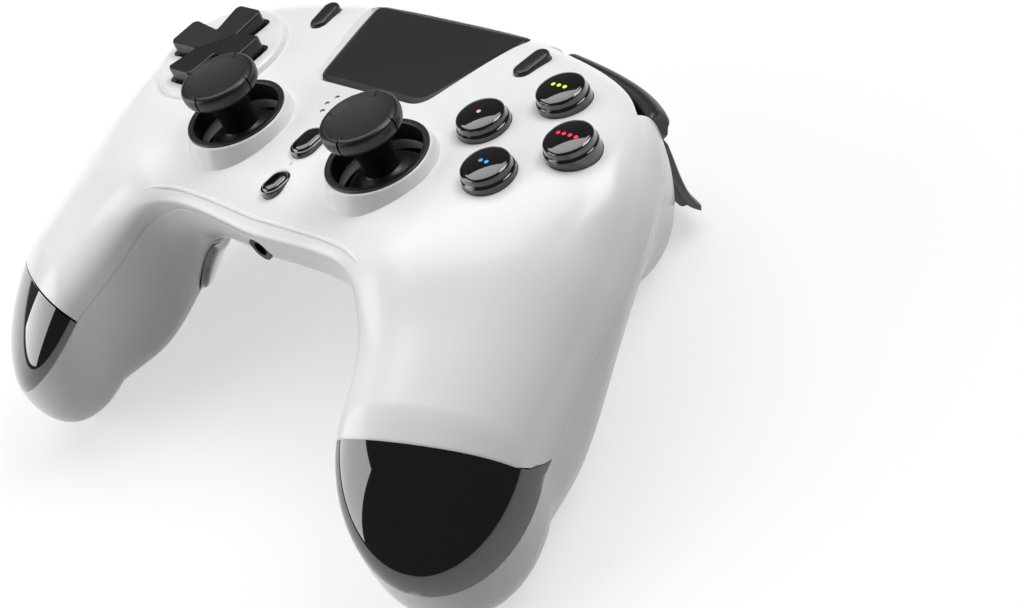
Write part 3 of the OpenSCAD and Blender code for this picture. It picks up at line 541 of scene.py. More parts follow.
def carved(shape, tools):
    """Cuts the openings out of a shell; the walls of a cut carry finish 3"""
    marks = [bpy.data.materials.new("mark") for _ in range(4)]
    made = []

    def raw(s):
        """Helper object in millimetres"""
        mesh = closed_mesh("raw", s, s.all_points(), MERGE_MM)
        for m in marks:
            mesh.materials.append(m)
        made.append(linked("raw", mesh))
        return made[-1]

    body = raw(shape)
    for tool in tools:
        tool.finish = [3] * len(tool.faces)
        cut = body.modifiers.new("cut", "BOOLEAN")
        cut.operation, cut.solver = "DIFFERENCE", "EXACT"
        cut.object = raw(tool)
    evaluated = body.evaluated_get(bpy.context.evaluated_depsgraph_get())
    mesh = bpy.data.meshes.new_from_object(evaluated)
    for obj in made:
        bpy.data.objects.remove(obj)
    mesh.materials.clear()
    for m in marks:
        bpy.data.materials.remove(m)
    return mesh


def search_tree(guide):
    """Search tree of an uncut skin"""
    return BVHTree.FromPolygons([tuple(p) for p in guide[0]], [tuple(t) for t in guide[1]])


def settle(mesh):
    """Takes a mesh from millimetres on the flat face to its place"""
    co = np.empty(len(mesh.vertices) * 3, np.float32)
    mesh.vertices.foreach_get("co", co)
    mesh.vertices.foreach_set("co", place(co.reshape(-1, 3)).astype(np.float32).ravel())


def smooth_skin(mesh, guide):
    """Moves a carved shell to its place and gives its outer skin the normals of the uncut skin"""
    points, tris, normals = guide
    tree = search_tree(guide)
    found = [tree.find_nearest(v.co) for v in mesh.vertices]
    near = np.array([f[0] for f in found])
    tri = tris[[f[2] for f in found]].T
    corner = points[tri]
    whole = np.linalg.norm(np.cross(corner[1] - corner[0], corner[2] - corner[0]), axis=1) + TINY
    n = 0
    for k in range(3):
        part = np.linalg.norm(np.cross(corner[k - 2] - near, corner[k - 1] - near), axis=1)
        n = n + normals[tri[k]] * (part / whole)[:, None]
    n = laid(unit(n, TINY))
    settle(mesh)
    with edited(mesh) as bm:
        bmesh.ops.triangulate(bm, faces=[f for f in bm.faces if len(f.verts) > 4])
    shade(mesh)
    own = [tuple(v.vector) for v in mesh.corner_normals]
    loops = [lp.vertex_index for lp in mesh.loops]
    for poly in mesh.polygons:
        if poly.material_index == 0:
            for k in poly.loop_indices:
                own[k] = tuple(n[loops[k]])
    mesh.normals_split_custom_set(own)
    mesh.polygons.foreach_set("material_index", [0] * len(mesh.polygons))
    mesh.update()
    return mesh


def node(tree, kind, inputs=None, **settings):
    """Adds a node, sets it up and links or fills its inputs"""
    made = tree.nodes.new(kind)
    for key, value in settings.items():
        setattr(made, key, value)
    for key, value in (inputs or {}).items():
        if isinstance(value, bpy.types.NodeSocket):
            tree.links.new(value, made.inputs[key])
        else:
            made.inputs[key].default_value = value
    return made


def blank_material(name):
    """New material and its empty tree"""
    mat = bpy.data.materials.new(name)
    mat.use_nodes = True
    mat.node_tree.nodes.clear()
    return mat, mat.node_tree


def finish_of(name, base, rough, spread, grain_mm, depth_mm, tone, patch_mm, **sockets):
    """Moulded or worked surface: its tone drifts over patch_mm, its roughness and relief over grain_mm"""
    mat, tree = blank_material(name)
    spot = node(tree, "ShaderNodeTexCoord").outputs["Object"]
    drift = node(tree, "ShaderNodeTexNoise", {"Vector": spot, "Scale": 1 / (patch_mm * MM), "Detail": 2.0})
    grain = node(tree, "ShaderNodeTexNoise", {"Vector": spot, "Scale": 1 / (grain_mm * MM), "Detail": 3.0})
    pale, dark = tuple(base) + (1,), tuple(c * (1 - tone) for c in base) + (1,)
    mix = node(tree, "ShaderNodeMix", {0: drift.outputs["Fac"], 6: dark, 7: pale}, data_type="RGBA")
    dull = node(tree, "ShaderNodeMapRange",
                {"Value": grain.outputs["Fac"], "From Min": 0.3, "From Max": 0.7,
                 "To Min": max(0.01, rough - spread), "To Max": rough + spread})
    bump = node(tree, "ShaderNodeBump",
                {"Height": grain.outputs["Fac"], "Distance": depth_mm * MM, "Strength": 1.0})
    surface = node(tree, "ShaderNodeBsdfPrincipled",
                   {"Base Color": mix.outputs[2], "Roughness": dull.outputs["Result"],
                    "Normal": bump.outputs["Normal"], **sockets})
    node(tree, "ShaderNodeOutputMaterial", {"Surface": surface.outputs["BSDF"]})
    return mat


FINISHES = {}


def finishes(context):
    """The finishes of the pad, made once"""
    if FINISHES:
        return FINISHES
    c = context.scene.gamepad_colours
    FINISHES.update({
        # glossy injection-moulded ABS: even white, faint orange peel
        "shell": finish_of("white_moulded_abs", c.shell, 0.24, 0.03, 2.6, 0.004, 0.015, 40, IOR=1.53),
        # polished black acrylic: mirror-like, almost no texture
        "gloss": finish_of("piano_black_acrylic", c.gloss, 0.035, 0.012, 3.0, 0.001, 0.1, 30,
                           **{"IOR": 1.6, "Coat Weight": 1.0, "Coat Roughness": 0.02}),
        # spark-eroded ABS: even grain with a soft sheen, drawn coarser than the real one so that it shows
        "satin": finish_of("black_satin_abs", c.satin, 0.36, 0.06, 0.45, 0.012, 0.12, 12, IOR=1.53),
        # moulded thumb rubber: dull with a stipple, drawn coarser than the real one so that it shows
        "rubber": finish_of("black_thumb_rubber", c.rubber, 0.55, 0.08, 0.5, 0.02, 0.15, 9, IOR=1.5),
        # etched touch film: matt, with an etch drawn coarser than the real one so that it shows
        "touch": finish_of("etched_touch_film", linear("#0E0E10"), 0.42, 0.05, 0.3, 0.006, 0.1, 18, IOR=1.5),
        # smoked polycarbonate over the light bar
        "smoke": finish_of("smoked_polycarbonate", linear("#0B0B0D"), 0.12, 0.03, 1.8, 0.002, 0.15, 14,
                           IOR=1.58),
        # grey glass-filled nylon of the stick mechanism
        "nylon": finish_of("grey_filled_nylon", linear("#6E7074"), 0.5, 0.08, 0.8, 0.02, 0.12, 6, IOR=1.53),
        # zinc-plated steel: bright, slightly cloudy
        "steel": finish_of("zinc_plated_steel", linear("#B9BBBE"), 0.28, 0.08, 0.9, 0.006, 0.12, 4,
                           Metallic=1.0),
        # solder mask over copper
        "board": finish_of("green_solder_mask", linear("#0E4B2A"), 0.3, 0.08, 1.2, 0.02, 0.35, 3, IOR=1.55),
        # shrink wrap of the cell
        "wrap": finish_of("blue_shrink_wrap", linear("#2C4A70"), 0.3, 0.06, 2.0, 0.02, 0.15, 10, IOR=1.5),
        # silicone contact mat
        "silicone": finish_of("grey_silicone", linear("#3A3A3E"), 0.6, 0.08, 0.8, 0.02, 0.1, 8, IOR=1.42),
        # clear light pipe with a faint glow
        "pipe": finish_of("clear_light_pipe", linear("#DDE6F0"), 0.2, 0.04, 1.5, 0.004, 0.05, 5,
                          **{"IOR": 1.49, "Emission Color": linear("#DDE8FF") + (1,),
                             "Emission Strength": 0.3}),
    })
    for key in ("rose", "azure", "lime", "scarlet"):
        tint = tuple(getattr(c, key))
        # printed dots lit from behind
        FINISHES[key] = finish_of("lit_dot_" + key, tint, 0.25, 0.04, 0.5, 0.003, 0.1, 1,
                                  **{"IOR": 1.5, "Emission Color": tint + (1,), "Emission Strength": 0.75})
    return FINISHES


def disc(x, y, r, z0, z1, steps=64):
    """Round cutting tool"""
    return Shape().turned([(r, z0), (r, z1)], (x, y), steps)


def slot_tool(outline, z0, z1, move=None):
    """Straight cutting tool"""
    return Shape().stacked(outline, [(0, z0), (0, z1)], move)


def merged(*shapes):
    """Several shapes that don't touch, as one"""
    whole = Shape()
    for s in shapes:
        whole.add(s.all_points(), s.faces)
    return whole


def pair(shape):
    """A shape of the right side together with its twin on the left"""
    return merged(shape, mirrored(shape))


def band(low, high):
    """Outline of a tool that cuts the outer seam between two heights"""
    return [(-4, low), (3, low), (3, high), (-4, high)]


def at(x, y, turn=0.0, sign=1):
    """Move for stacked parts: to a place on the face"""
    c, s = math.cos(turn), math.sin(turn)

    def move(p):
        q = np.stack([p[..., 0] * c - p[..., 1] * s + x, p[..., 0] * s + p[..., 1] * c + y, p[..., 2]], -1)
        q[..., 0] *= sign
        return q
    return move


def pad_outline(grow=0.0):
    """Outline of the touch pad"""
    right = [(16.8, 21), (19.6, 30), (22.6, 40), (25, 49.4)]
    corners = [(-x, y) for x, y in right[::-1]] + right
    o = resampled(rounded(corners, [3.5, 2, 2, 3.5] * 2, 6), 2.0)
    return o + outwards(o) * grow


def patch(up, down, grow, nu, nv, pillow=False):
    """Shield-shaped patch of the belly between two depths"""
    i, v = np.meshgrid(np.linspace(0, 1, nu + 1), np.linspace(-1, 1, nv + 1), indexing="ij")
    u = -0.12 + 1.1 * i
    t = PADDLE_START - PADDLE_RUN * u - grow * 0.045 * (2 * i - 1)
    h = PADDLE_HALF * np.sqrt(np.maximum(0.02, 1 - np.maximum(0, u) ** 2.4))
    a = np.radians(PADDLE_ANGLE - 3 * u + h * v + grow * 1.9 * v)
    p = skin(t, a, BELLY)
    n = unit(np.cross(skin(t + 0.05, a, BELLY) - skin(t - 0.05, a, BELLY),
                      skin(t, a + 0.035, BELLY) - skin(t, a - 0.035, BELLY)))
    lift = np.full(u.shape, float(up))
    if pillow:
        edge = (1 - np.abs(2 * i - 1) ** 9) * (1 - np.abs(v) ** 9)
        lift = -0.1 + (up + 0.1) * np.sqrt(np.maximum(edge, 0))
    high, low = p + n * lift[..., None], p - n * down
    shape = Shape()
    m, k = nu + 1, nv + 1
    quads = [(r * k + c, r * k + c + 1, (r + 1) * k + c + 1, (r + 1) * k + c)
             for r in range(nu) for c in range(nv)]
    border = ([(0, c) for c in range(nv)] + [(r, nv) for r in range(nu)] + [(nu, c) for c in range(nv, 0, -1)]
              + [(r, 0) for r in range(nu, 0, -1)])
    ring = [r * k + c for r, c in border]
    walls = [(ring[j], ring[(j + 1) % len(ring)], m * k + ring[(j + 1) % len(ring)], m * k + ring[j])
             for j in range(len(ring))]
    shape.add(np.concatenate([high.reshape(-1, 3), low.reshape(-1, 3)]),
              quads + [tuple(x + m * k for x in q[::-1]) for q in quads] + walls)
    return shape


class GAMEPAD_OT_housing(bpy.types.Operator):
    """Make the two moulded shells, the stick collars, the cross pad's pedestal and the grip caps"""

    bl_idname = "gamepad.housing"
    bl_label = "Housing"

    def execute(self, context):
        s = context.scene.gamepad_sizes
        look = finishes(context)
        wall, parting, hole = s.wall / MM, s.parting / MM, s.hole / MM
        shell = [look["shell"]]
        body_rows = np.linspace(0, 2 * LAST, 2 * LAST * SHELL_ROWS + 1)
        shape, guide = shell_net(body_rows, FACE, wall, parting, (False, False))
        holes = [disc(x, STICK_Y, hole + 1, *FACE_CUT) for x in (-STICK_X, STICK_X)]
        holes.append(disc(-GROUP_X, GROUP_Y, GROUP_HOLE, *FACE_CUT))
        for k in range(4):
            x, y = quarter(k, s.pitch / MM)
            holes.append(disc(GROUP_X + x, GROUP_Y + y, s.button / MM / 2 + BUTTON_GAP, *FACE_CUT))
        for y, wide, long, _, _ in KEYS.values():
            holes.append(slot_tool(oval(wide + KEY_GAP, long + KEY_GAP), *FACE_CUT, at(0, y)))
        pill = oval(PILL_WIDE + KEY_GAP, s.pill / MM + KEY_GAP)
        holes += [slot_tool(pill, *FACE_CUT, at(*PILL_AT, PILL_TURN, k)) for k in (1, -1)]
        holes += [disc(*hole_at, *FACE_CUT, 24) for hole_at in FACE_HOLES]
        holes.append(slot_tool(pad_outline(GAP), -12, 8))
        bumper = pair(Shape().bar(BUMPER_CUT, bumper_ends(BUMPER_CUT, GAP), 24))
        strip_run = (BUMPER_RUN[1] + 0.01, 2 * LAST - BUMPER_RUN[1] - 0.01)
        strip = Shape().bar(band(-17, STRIP_TOP), strip_run, 24)
        mesh = smooth_skin(carved(shape, [merged(*holes), bumper, strip]), guide)
        piece("front_shell_skin", HOUSING, shell, mesh, ["front_shell"])

        tip = -1 + np.linspace(0.03, 1, 20, endpoint=False)
        rows = np.concatenate([tip, body_rows, 2 * LAST - tip[::-1]])
        shape, guide = shell_net(rows, BELLY, wall, parting, (True, True))
        wells = [disc(k * x, y, WELL_R, deep, seat) for k in (1, -1) for (x, y), seat, deep in SCREWS]
        usb = [[(y, end, USB_Z + x) for x, y in oval(*USB_SLOT)] for end in (41, 59)]
        ring = oval(JACK_WIDE, JACK_WIDE + MERGE_MM, 24)
        jack = [[(x, end, JACK_Z + y) for x, y in ring] for end in (-30, -12)]
        wells += [Shape().net(usb), Shape().net(jack), disc(*RESET_HOLE, -30, -18, 24),
                  Shape().box(*SWITCH_SLOT)]
        strip = Shape().bar(band(STRIP_FOOT, -8), strip_run, 24)
        trigger = pair(Shape().bar(TRIGGER_CUT, trigger_ends(TRIGGER_CUT, GAP), 24))
        hollow = pair(patch(4, 9, 1, 24, 18))
        mesh = smooth_skin(carved(shape, [merged(*wells), bumper, strip, trigger, hollow]), guide)
        piece("rear_shell_skin", HOUSING, shell, mesh, ["rear_shell"])

        t = np.linspace(LIP_START, 2 * LAST - LIP_START, 181)
        p = skin(t, LIP_ANGLE, FACE)
        along = np.gradient(p, axis=0)
        up = np.cross(skin(t, LIP_ANGLE + 0.05, FACE) - skin(t, LIP_ANGLE - 0.05, FACE), along)
        along, up = unit(along), unit(up)
        across = np.cross(up, along)
        reach = np.minimum(t - LIP_START, 2 * LAST - LIP_START - t) / LIP_TAPER
        thick = (LIP_R * np.sqrt(np.clip(reach, 0.002, 1)))[:, None]
        core = p + up * 0.5 * (thick - LIP_R) - up * LIP_SINK
        rows = np.array([core + thick * (math.cos(a) * across + math.sin(a) * up) for a in full_turn(14)])
        bead = Shape().net(rows.transpose(1, 0, 2))
        formed("front_lip_bead", HOUSING, shell, bead, angle=60)

        bosses = Shape()
        tree = search_tree(guide)
        for k in (1, -1):
            for (x, y), seat, _ in SCREWS:
                top = seat + BOSS_HIGH
                bosses.turned([(WELL_R, BELOW), (WELL_R, seat), (SHANK_R, seat), (SHANK_R, top),
                               (BOSS_R, top), (BOSS_R, BELOW)], (k * x, y), 40, closed=True)
                for p in bosses.points[-1]:
                    if p[2] == BELOW:
                        p[2] = tree.ray_cast(tuple(p), (0, 0, 1))[0].z + WELL_INSET
        formed("screw_wells", HOUSING, shell, bosses)

        collar = rounded([(COLLAR_FOOT, -4), (hole + 0.95, COLLAR_TOP), (hole, COLLAR_TOP), (hole, -4.5),
                          (13.2, -4.5)], [0, 0.7, 0.2, 0, 0], 5)
        rings = Shape()
        for x in (-STICK_X, STICK_X):
            rings.turned(collar, (x, STICK_Y), s.around, closed=True)
        formed("stick_collars", HOUSING, shell, rings)

        side = rounded([(0, PEDESTAL_TOP), (PEDESTAL_R, PEDESTAL_TOP), (PEDESTAL_FOOT, -4),
                        (PEDESTAL_BORE, -4), (PEDESTAL_BORE, 0), (0, 0)],
                       [0, 0.9, 0, 0, 0, 0], 5, closed=False)
        table = Shape().turned(side, (-GROUP_X, GROUP_Y), s.around)
        opening = resampled(rounded(cross_outline(s.cross / MM, 0.8), 0.7, 3), 4)
        mesh = carved(table, [slot_tool(opening, -4, 8, at(-GROUP_X, GROUP_Y))])
        settle(mesh)
        mesh.polygons.foreach_set("material_index", [0] * len(mesh.polygons))
        shade(mesh)
        piece("cross_pad_pedestal", HOUSING, shell, mesh)

        tip = -1 + np.linspace(0.02, 1, 28, endpoint=False)
        shape, _ = shell_net(np.concatenate([tip, [-CAP_SLIT]]), FACE, wall, parting, (True, False))
        for name, half in (("right_grip_cap", shape), ("left_grip_cap", mirrored(shape))):
            half.finish = [0] * len(half.faces)
            formed(name + "_skin", HOUSING, [look["gloss"]], half, [name], 40)
        return {"FINISHED"}


class GAMEPAD_OT_sticks(bpy.types.Operator):
    """Make the stick caps with their notched rims and the black lips of their holes"""

    bl_idname = "gamepad.sticks"
    bl_label = "Thumbsticks"

    def execute(self, context):
        s = context.scene.gamepad_sizes
        look = finishes(context)
        r, hole = s.cap / MM / 2, s.hole / MM
        dome, under = ([(q * math.cos(a), q * math.sin(a)) for a in np.radians(np.linspace(start, end, 14))]
                       for q, start, end in ((DOME_OUT, 68, 30), (DOME_IN, 30, 72)))
        rim = rounded([(r - 2.5, 23.75), (r - 1.3, 24.35), (r - 0.25, 23.8), (r, 22.4), (r - 0.35, 20.7),
                       (r - 1.6, 19.7), (5.6, 19.2), (4.5, 17.6), (3.9, 14.0), (3.95, 11.0)],
                      1.2, 6, closed=False)
        dish = [(q, 23.2 + 0.55 * (q / (r - 2.5)) ** 2) for q in np.linspace(0, r - 2.5, 10)[:-1]]
        skirt = [(3.2, 10.3), (3.2, 9.0), (1.95, 9.0), (1.95, 14.6), (0, 14.6)]
        profile = np.array(dish + [tuple(p) for p in rim] + dome + under + skirt)
        near = np.radians([-2.2, -1.5, -1.4, 0, 1.4, 1.5, 2.2])
        spread = np.linspace(math.radians(2.2), math.pi / 2 - math.radians(2.2), 24)[1:-1]
        angles = np.concatenate([k * math.pi / 2 + np.concatenate([near, spread]) for k in range(4)])
        angles = angles + math.radians(NOTCH_TURN)
        rows_on_top = len(dish) + 3
        bottom, top = -1.4, COLLAR_TOP + 0.5
        lip = rounded([(hole - 0.8, bottom), (hole - 0.05, bottom), (hole - 0.05, COLLAR_TOP),
                       (hole + 0.6, COLLAR_TOP), (hole + 0.6, top), (hole - 0.8, top)],
                      [0, 0, 0, 0, 0.25, 0.3], 4)
        for name, x in (("left_stick", -STICK_X), ("right_stick", STICK_X)):
            cap = Shape().turned(profile, (0, 0), angles)
            pts = cap.points[0]
            radial = np.hypot(pts[:, 0], pts[:, 1])
            phase = np.degrees(np.arctan2(pts[:, 1], pts[:, 0])) - NOTCH_TURN
            off = np.abs((phase + 45) % 90 - 45)
            groove = (off < NOTCH_HALF) & (radial > r - 2.2) & (pts[:, 2] > 19.5)
            pts[:, :2] *= np.where(groove, 1 - s.notch / MM / np.maximum(radial, 1), 1)[:, None]
            cap.finish = [int(f[0] // len(angles) < rows_on_top and len(f) == 4) for f in cap.faces]
            cap.points[0] = pts + [x, STICK_Y, PIVOT_Z]
            formed(name + "_cap_turned", name + "_cap_body",
                   [look["satin"], look["rubber"]], cap, [name + "_cap"], 30)
            ring = Shape().turned(lip, (x, STICK_Y), s.around, closed=True)
            formed(name + "_lip", HOUSING, [look["satin"]], ring, [name + "_bezel"])
        return {"FINISHED"}


class GAMEPAD_OT_cross_pad(bpy.types.Operator):
    """Make the cross pad with its faceted, dished arms"""

    bl_idname = "gamepad.cross_pad"
    bl_label = "Cross pad"

    def execute(self, context):
        s = context.scene.gamepad_sizes
        look = finishes(context)
        o = resampled(rounded(cross_outline(s.cross / MM), 0.45, 3), 0.9)
        n = outwards(o)

        def layer(grow, scale, drop):
            p = (o + n * grow) * scale
            reach = np.abs(p).max(1)
            return np.column_stack([p, CROSS_TOP + CROSS_RISE * reach - drop])
        flat = np.column_stack([o, np.full(len(o), -1.6)])
        rows = [flat, layer(0, 1, 0.5), layer(-0.12, 1, 0.16), layer(-0.42, 1, 0)]
        rows += [layer(-0.42, k, 0) for k in np.linspace(0.86, 0.03, 10)]
        shape = Shape().net(np.array(rows))
        shape.turned([(0, -2.8), (13, -2.8), (13, -1.6), (0, -1.6)], (0, 0), 72)
        for k in range(4):
            shape.turned([(1.6, -5), (1.6, -2)], quarter(k, 9.5), 20)
        for y in (-2.1, 2.1):
            shape.box((-1.6, y - 0.6, -6.2), (1.6, y + 0.6, -2))
        shape.points = [p + [-GROUP_X, GROUP_Y, 0] for p in shape.points]
        formed("cross_pad_cap", "dpad_body", [look["satin"]], shape, ["dpad"], 12)
        return {"FINISHED"}


def new_tree(name, **inputs):
    """Geometry nodes tree with inputs of the given kinds, and the sockets that bring them in"""
    tree = bpy.data.node_groups.new(name, "GeometryNodeTree")
    for key, kind in {"Geometry": "Geometry", **inputs}.items():
        tree.interface.new_socket(key, in_out="INPUT", socket_type="NodeSocket" + kind)
    tree.interface.new_socket("Geometry", in_out="OUTPUT", socket_type="NodeSocketGeometry")
    return tree, node(tree, "NodeGroupInput").outputs


def ended(tree, geometry, finish):
    """A geometry nodes tree that ends in plain geometry of one finish"""
    real = node(tree, "GeometryNodeRealizeInstances", {"Geometry": geometry})
    done = node(tree, "GeometryNodeSetMaterial", {"Geometry": real.outputs[0], "Material": finish})
    node(tree, "NodeGroupOutput", {"Geometry": done.outputs["Geometry"]})
    return tree


def dot_tree():
    """Geometry nodes tree: a straight row of small domed dots"""
    tree, given = new_tree("dot_row", Count="Int", Step="Float", Radius="Float", Finish="Material")
    less = node(tree, "ShaderNodeMath", {0: given["Count"], 1: 1.0}, operation="SUBTRACT").outputs[0]
    length = node(tree, "ShaderNodeMath", {0: less, 1: given["Step"]}, operation="MULTIPLY").outputs[0]
    half = node(tree, "ShaderNodeMath", {0: length, 1: -0.5}, operation="MULTIPLY").outputs[0]
    start = node(tree, "ShaderNodeCombineXYZ", {"X": half}).outputs[0]
    step = node(tree, "ShaderNodeCombineXYZ", {"X": given["Step"]}).outputs[0]
    line = node(tree, "GeometryNodeMeshLine",
                {"Count": given["Count"], "Start Location": start, "Offset": step})
    ball = node(tree, "GeometryNodeMeshUVSphere", {"Segments": 20, "Rings": 10, "Radius": given["Radius"]})
    flat = node(tree, "GeometryNodeTransform", {"Geometry": ball.outputs["Mesh"], "Scale": (1, 1, 0.3)})
    many = node(tree, "GeometryNodeInstanceOnPoints",
                {"Points": line.outputs["Mesh"], "Instance": flat.outputs["Geometry"]})
    return ended(tree, many.outputs["Instances"], given["Finish"])


def from_tree(tree, **inputs):
    """Plain mesh of a geometry nodes tree with the given inputs"""
    holder = linked("holder", bpy.data.meshes.new("holder"))
    mod = holder.modifiers.new("nodes", "NODES")
    mod.node_group = tree
    for item in tree.interface.items_tree:
        if item.in_out == "INPUT" and item.name in inputs:
            mod[item.identifier] = inputs[item.name]
    mesh = bpy.data.meshes.new_from_object(holder.evaluated_get(bpy.context.evaluated_depsgraph_get()))
    bpy.data.objects.remove(holder)
    return mesh


class GAMEPAD_OT_face_buttons(bpy.types.Operator):
    """Make the four domed face buttons, each with a row of coloured dots"""

    bl_idname = "gamepad.face_buttons"
    bl_label = "Face buttons"

    def execute(self, context):
        s = context.scene.gamepad_sizes
        look = finishes(context)
        r = s.button / MM / 2
        base = r + 0.45

        def crown(q):
            return CROWN_TOP - CROWN_FALL * (q / (r - 0.5)) ** 2
        top = [(q, crown(q)) for q in np.linspace(0, r - 0.5, 9)]
        edge = rounded([top[-1], (r - 0.02, 2.95), (r, 1.7), (r + 0.12, 1.45), (base, 1.2), (base, -3.25)],
                       [0, 0.5, 0.15, 0.15, 0.25, 0], 4, closed=False)
        flange = [(base + 1.1, -3.25), (base + 1.1, -4.4), (3, -4.4), (3, -5.6), (0, -5.6)]
        profile = np.array(top[:-1] + [tuple(p) for p in edge] + flange)
        tree = dot_tree()
        rows = (("right", 4, "scarlet"), ("top", 3, "lime"), ("left", 1, "rose"), ("bottom", 2, "azure"))
        for k, (name, count, tint) in enumerate(rows):
            x, y = np.add((GROUP_X, GROUP_Y), quarter(k, s.pitch / MM))
            shape = Shape().turned(profile, (x, y), s.around)
            formed(name + "_face_button_dome", name + "_face_button_body", [look["gloss"]],
                   shape, [name + "_face_button"], 30)
            mesh = from_tree(tree, Count=count, Step=s.dot_step, Radius=s.dot, Finish=look[tint])
            co = np.array([v.co for v in mesh.vertices]) / MM
            co[:, 2] += crown(np.hypot(co[:, 0], co[:, 1])) - 0.02
            co[:, :2] += (x, y)
            mesh.vertices.foreach_set("co", place(co).astype(np.float32).ravel())
            mesh.materials.clear()
            mesh.update()
            shade(mesh, 60)
            piece(name + "_face_button_dots", name + "_face_button_body", [look[tint]], mesh)
        return {"FINISHED"}


class GAMEPAD_OT_small_keys(bpy.types.Operator):
    """Make the oval keys, the pill keys and the touch pad"""

    bl_idname = "gamepad.small_keys"
    bl_label = "Small keys"

    def execute(self, context):
        s = context.scene.gamepad_sizes
        look = finishes(context)
        for name, (y, wide, long, top, seat) in KEYS.items():
            layers = [(1.3, seat - 1.2), (1.3, seat - 0.05), (0, seat - 0.05), (0, top - 0.75),
                      (-0.06, top - 0.62), (-0.16, top - 0.55), (-0.5, top - 0.5), (-0.56, top - 0.4),
                      (-0.66, top - 0.2), (-0.9, top - 0.06), (-1.5, top + 0.08), (-2.2, top + 0.14)]
            shape = Shape().stacked(oval(wide, long), layers, at(0, y))
            formed(name + "_key", name + "_body", [look["gloss"]], shape, [name], 38)
        pill = [(0, -5.2), (0, -0.1), (-0.1, 0.2), (-0.35, 0.42), (-0.9, 0.52), (-1.5, 0.55)]
        for name, sign in (("options_button", 1), ("share_button", -1)):
            spot = at(*PILL_AT, PILL_TURN, sign)
            shape = Shape().stacked(oval(PILL_WIDE, s.pill / MM), pill, spot)
            shape.stacked(oval(PILL_WIDE, 5.2), [(1.2, -5.2), (1.2, -4.45)], spot)
            formed(name + "_key", name + "_body", [look["satin"]], shape, [name], 38)

        def tilted(p):
            y, z = p[..., 1] - PAD_Y, p[..., 2] - PAD_Z
            c, si = math.cos(PAD_TILT), math.sin(PAD_TILT)
            return np.stack([p[..., 0], y * c - z * si + PAD_Y, y * si + z * c + PAD_Z], -1)
        plate = [(0, -4.4), (0, -2.95), (-0.1, -2.7), (-0.9, -2.32), (-1.1, -2.22), (-1.4, -2.2)]
        shape = Shape().stacked(pad_outline(), plate, tilted)
        for k in (-1, 1):
            shape.box((22.5 * k - 1.1, PAD_Y - 1.6, PAD_Z - 1.2), (22.5 * k + 1.1, PAD_Y + 1.4, -3))
        formed("touch_pad_plate", "touch_pad_body", [look["touch"]], shape, ["touch_pad"], 24)
        return {"FINISHED"}


def strip_tree():
    """Geometry nodes tree: a bar of one profile along a path"""
    tree, given = new_tree("strip_along_path", Path="Object", Profile="Object", Finish="Material")
    path = node(tree, "GeometryNodeObjectInfo", {"Object": given["Path"]}).outputs["Geometry"]
    profile = node(tree, "GeometryNodeObjectInfo", {"Object": given["Profile"]}).outputs["Geometry"]
    up = node(tree, "GeometryNodeSetCurveNormal", {"Curve": path}, mode="Z_UP")
    bar = node(tree, "GeometryNodeCurveToMesh",
               {"Curve": up.outputs["Curve"], "Profile Curve": profile, "Fill Caps": True})
    return ended(tree, bar.outputs["Mesh"], given["Finish"])


def poly_curve(name, points, closed):
    """Helper curve through points, in metres"""
    curve = bpy.data.curves.new(name, "CURVE")
    curve.dimensions = "3D"
    line = curve.splines.new("POLY")
    line.points.add(len(points) - 1)
    line.points.foreach_set("co", np.column_stack([points, np.ones(len(points))]).ravel())
    line.use_cyclic_u = closed
    return linked(name, curve)


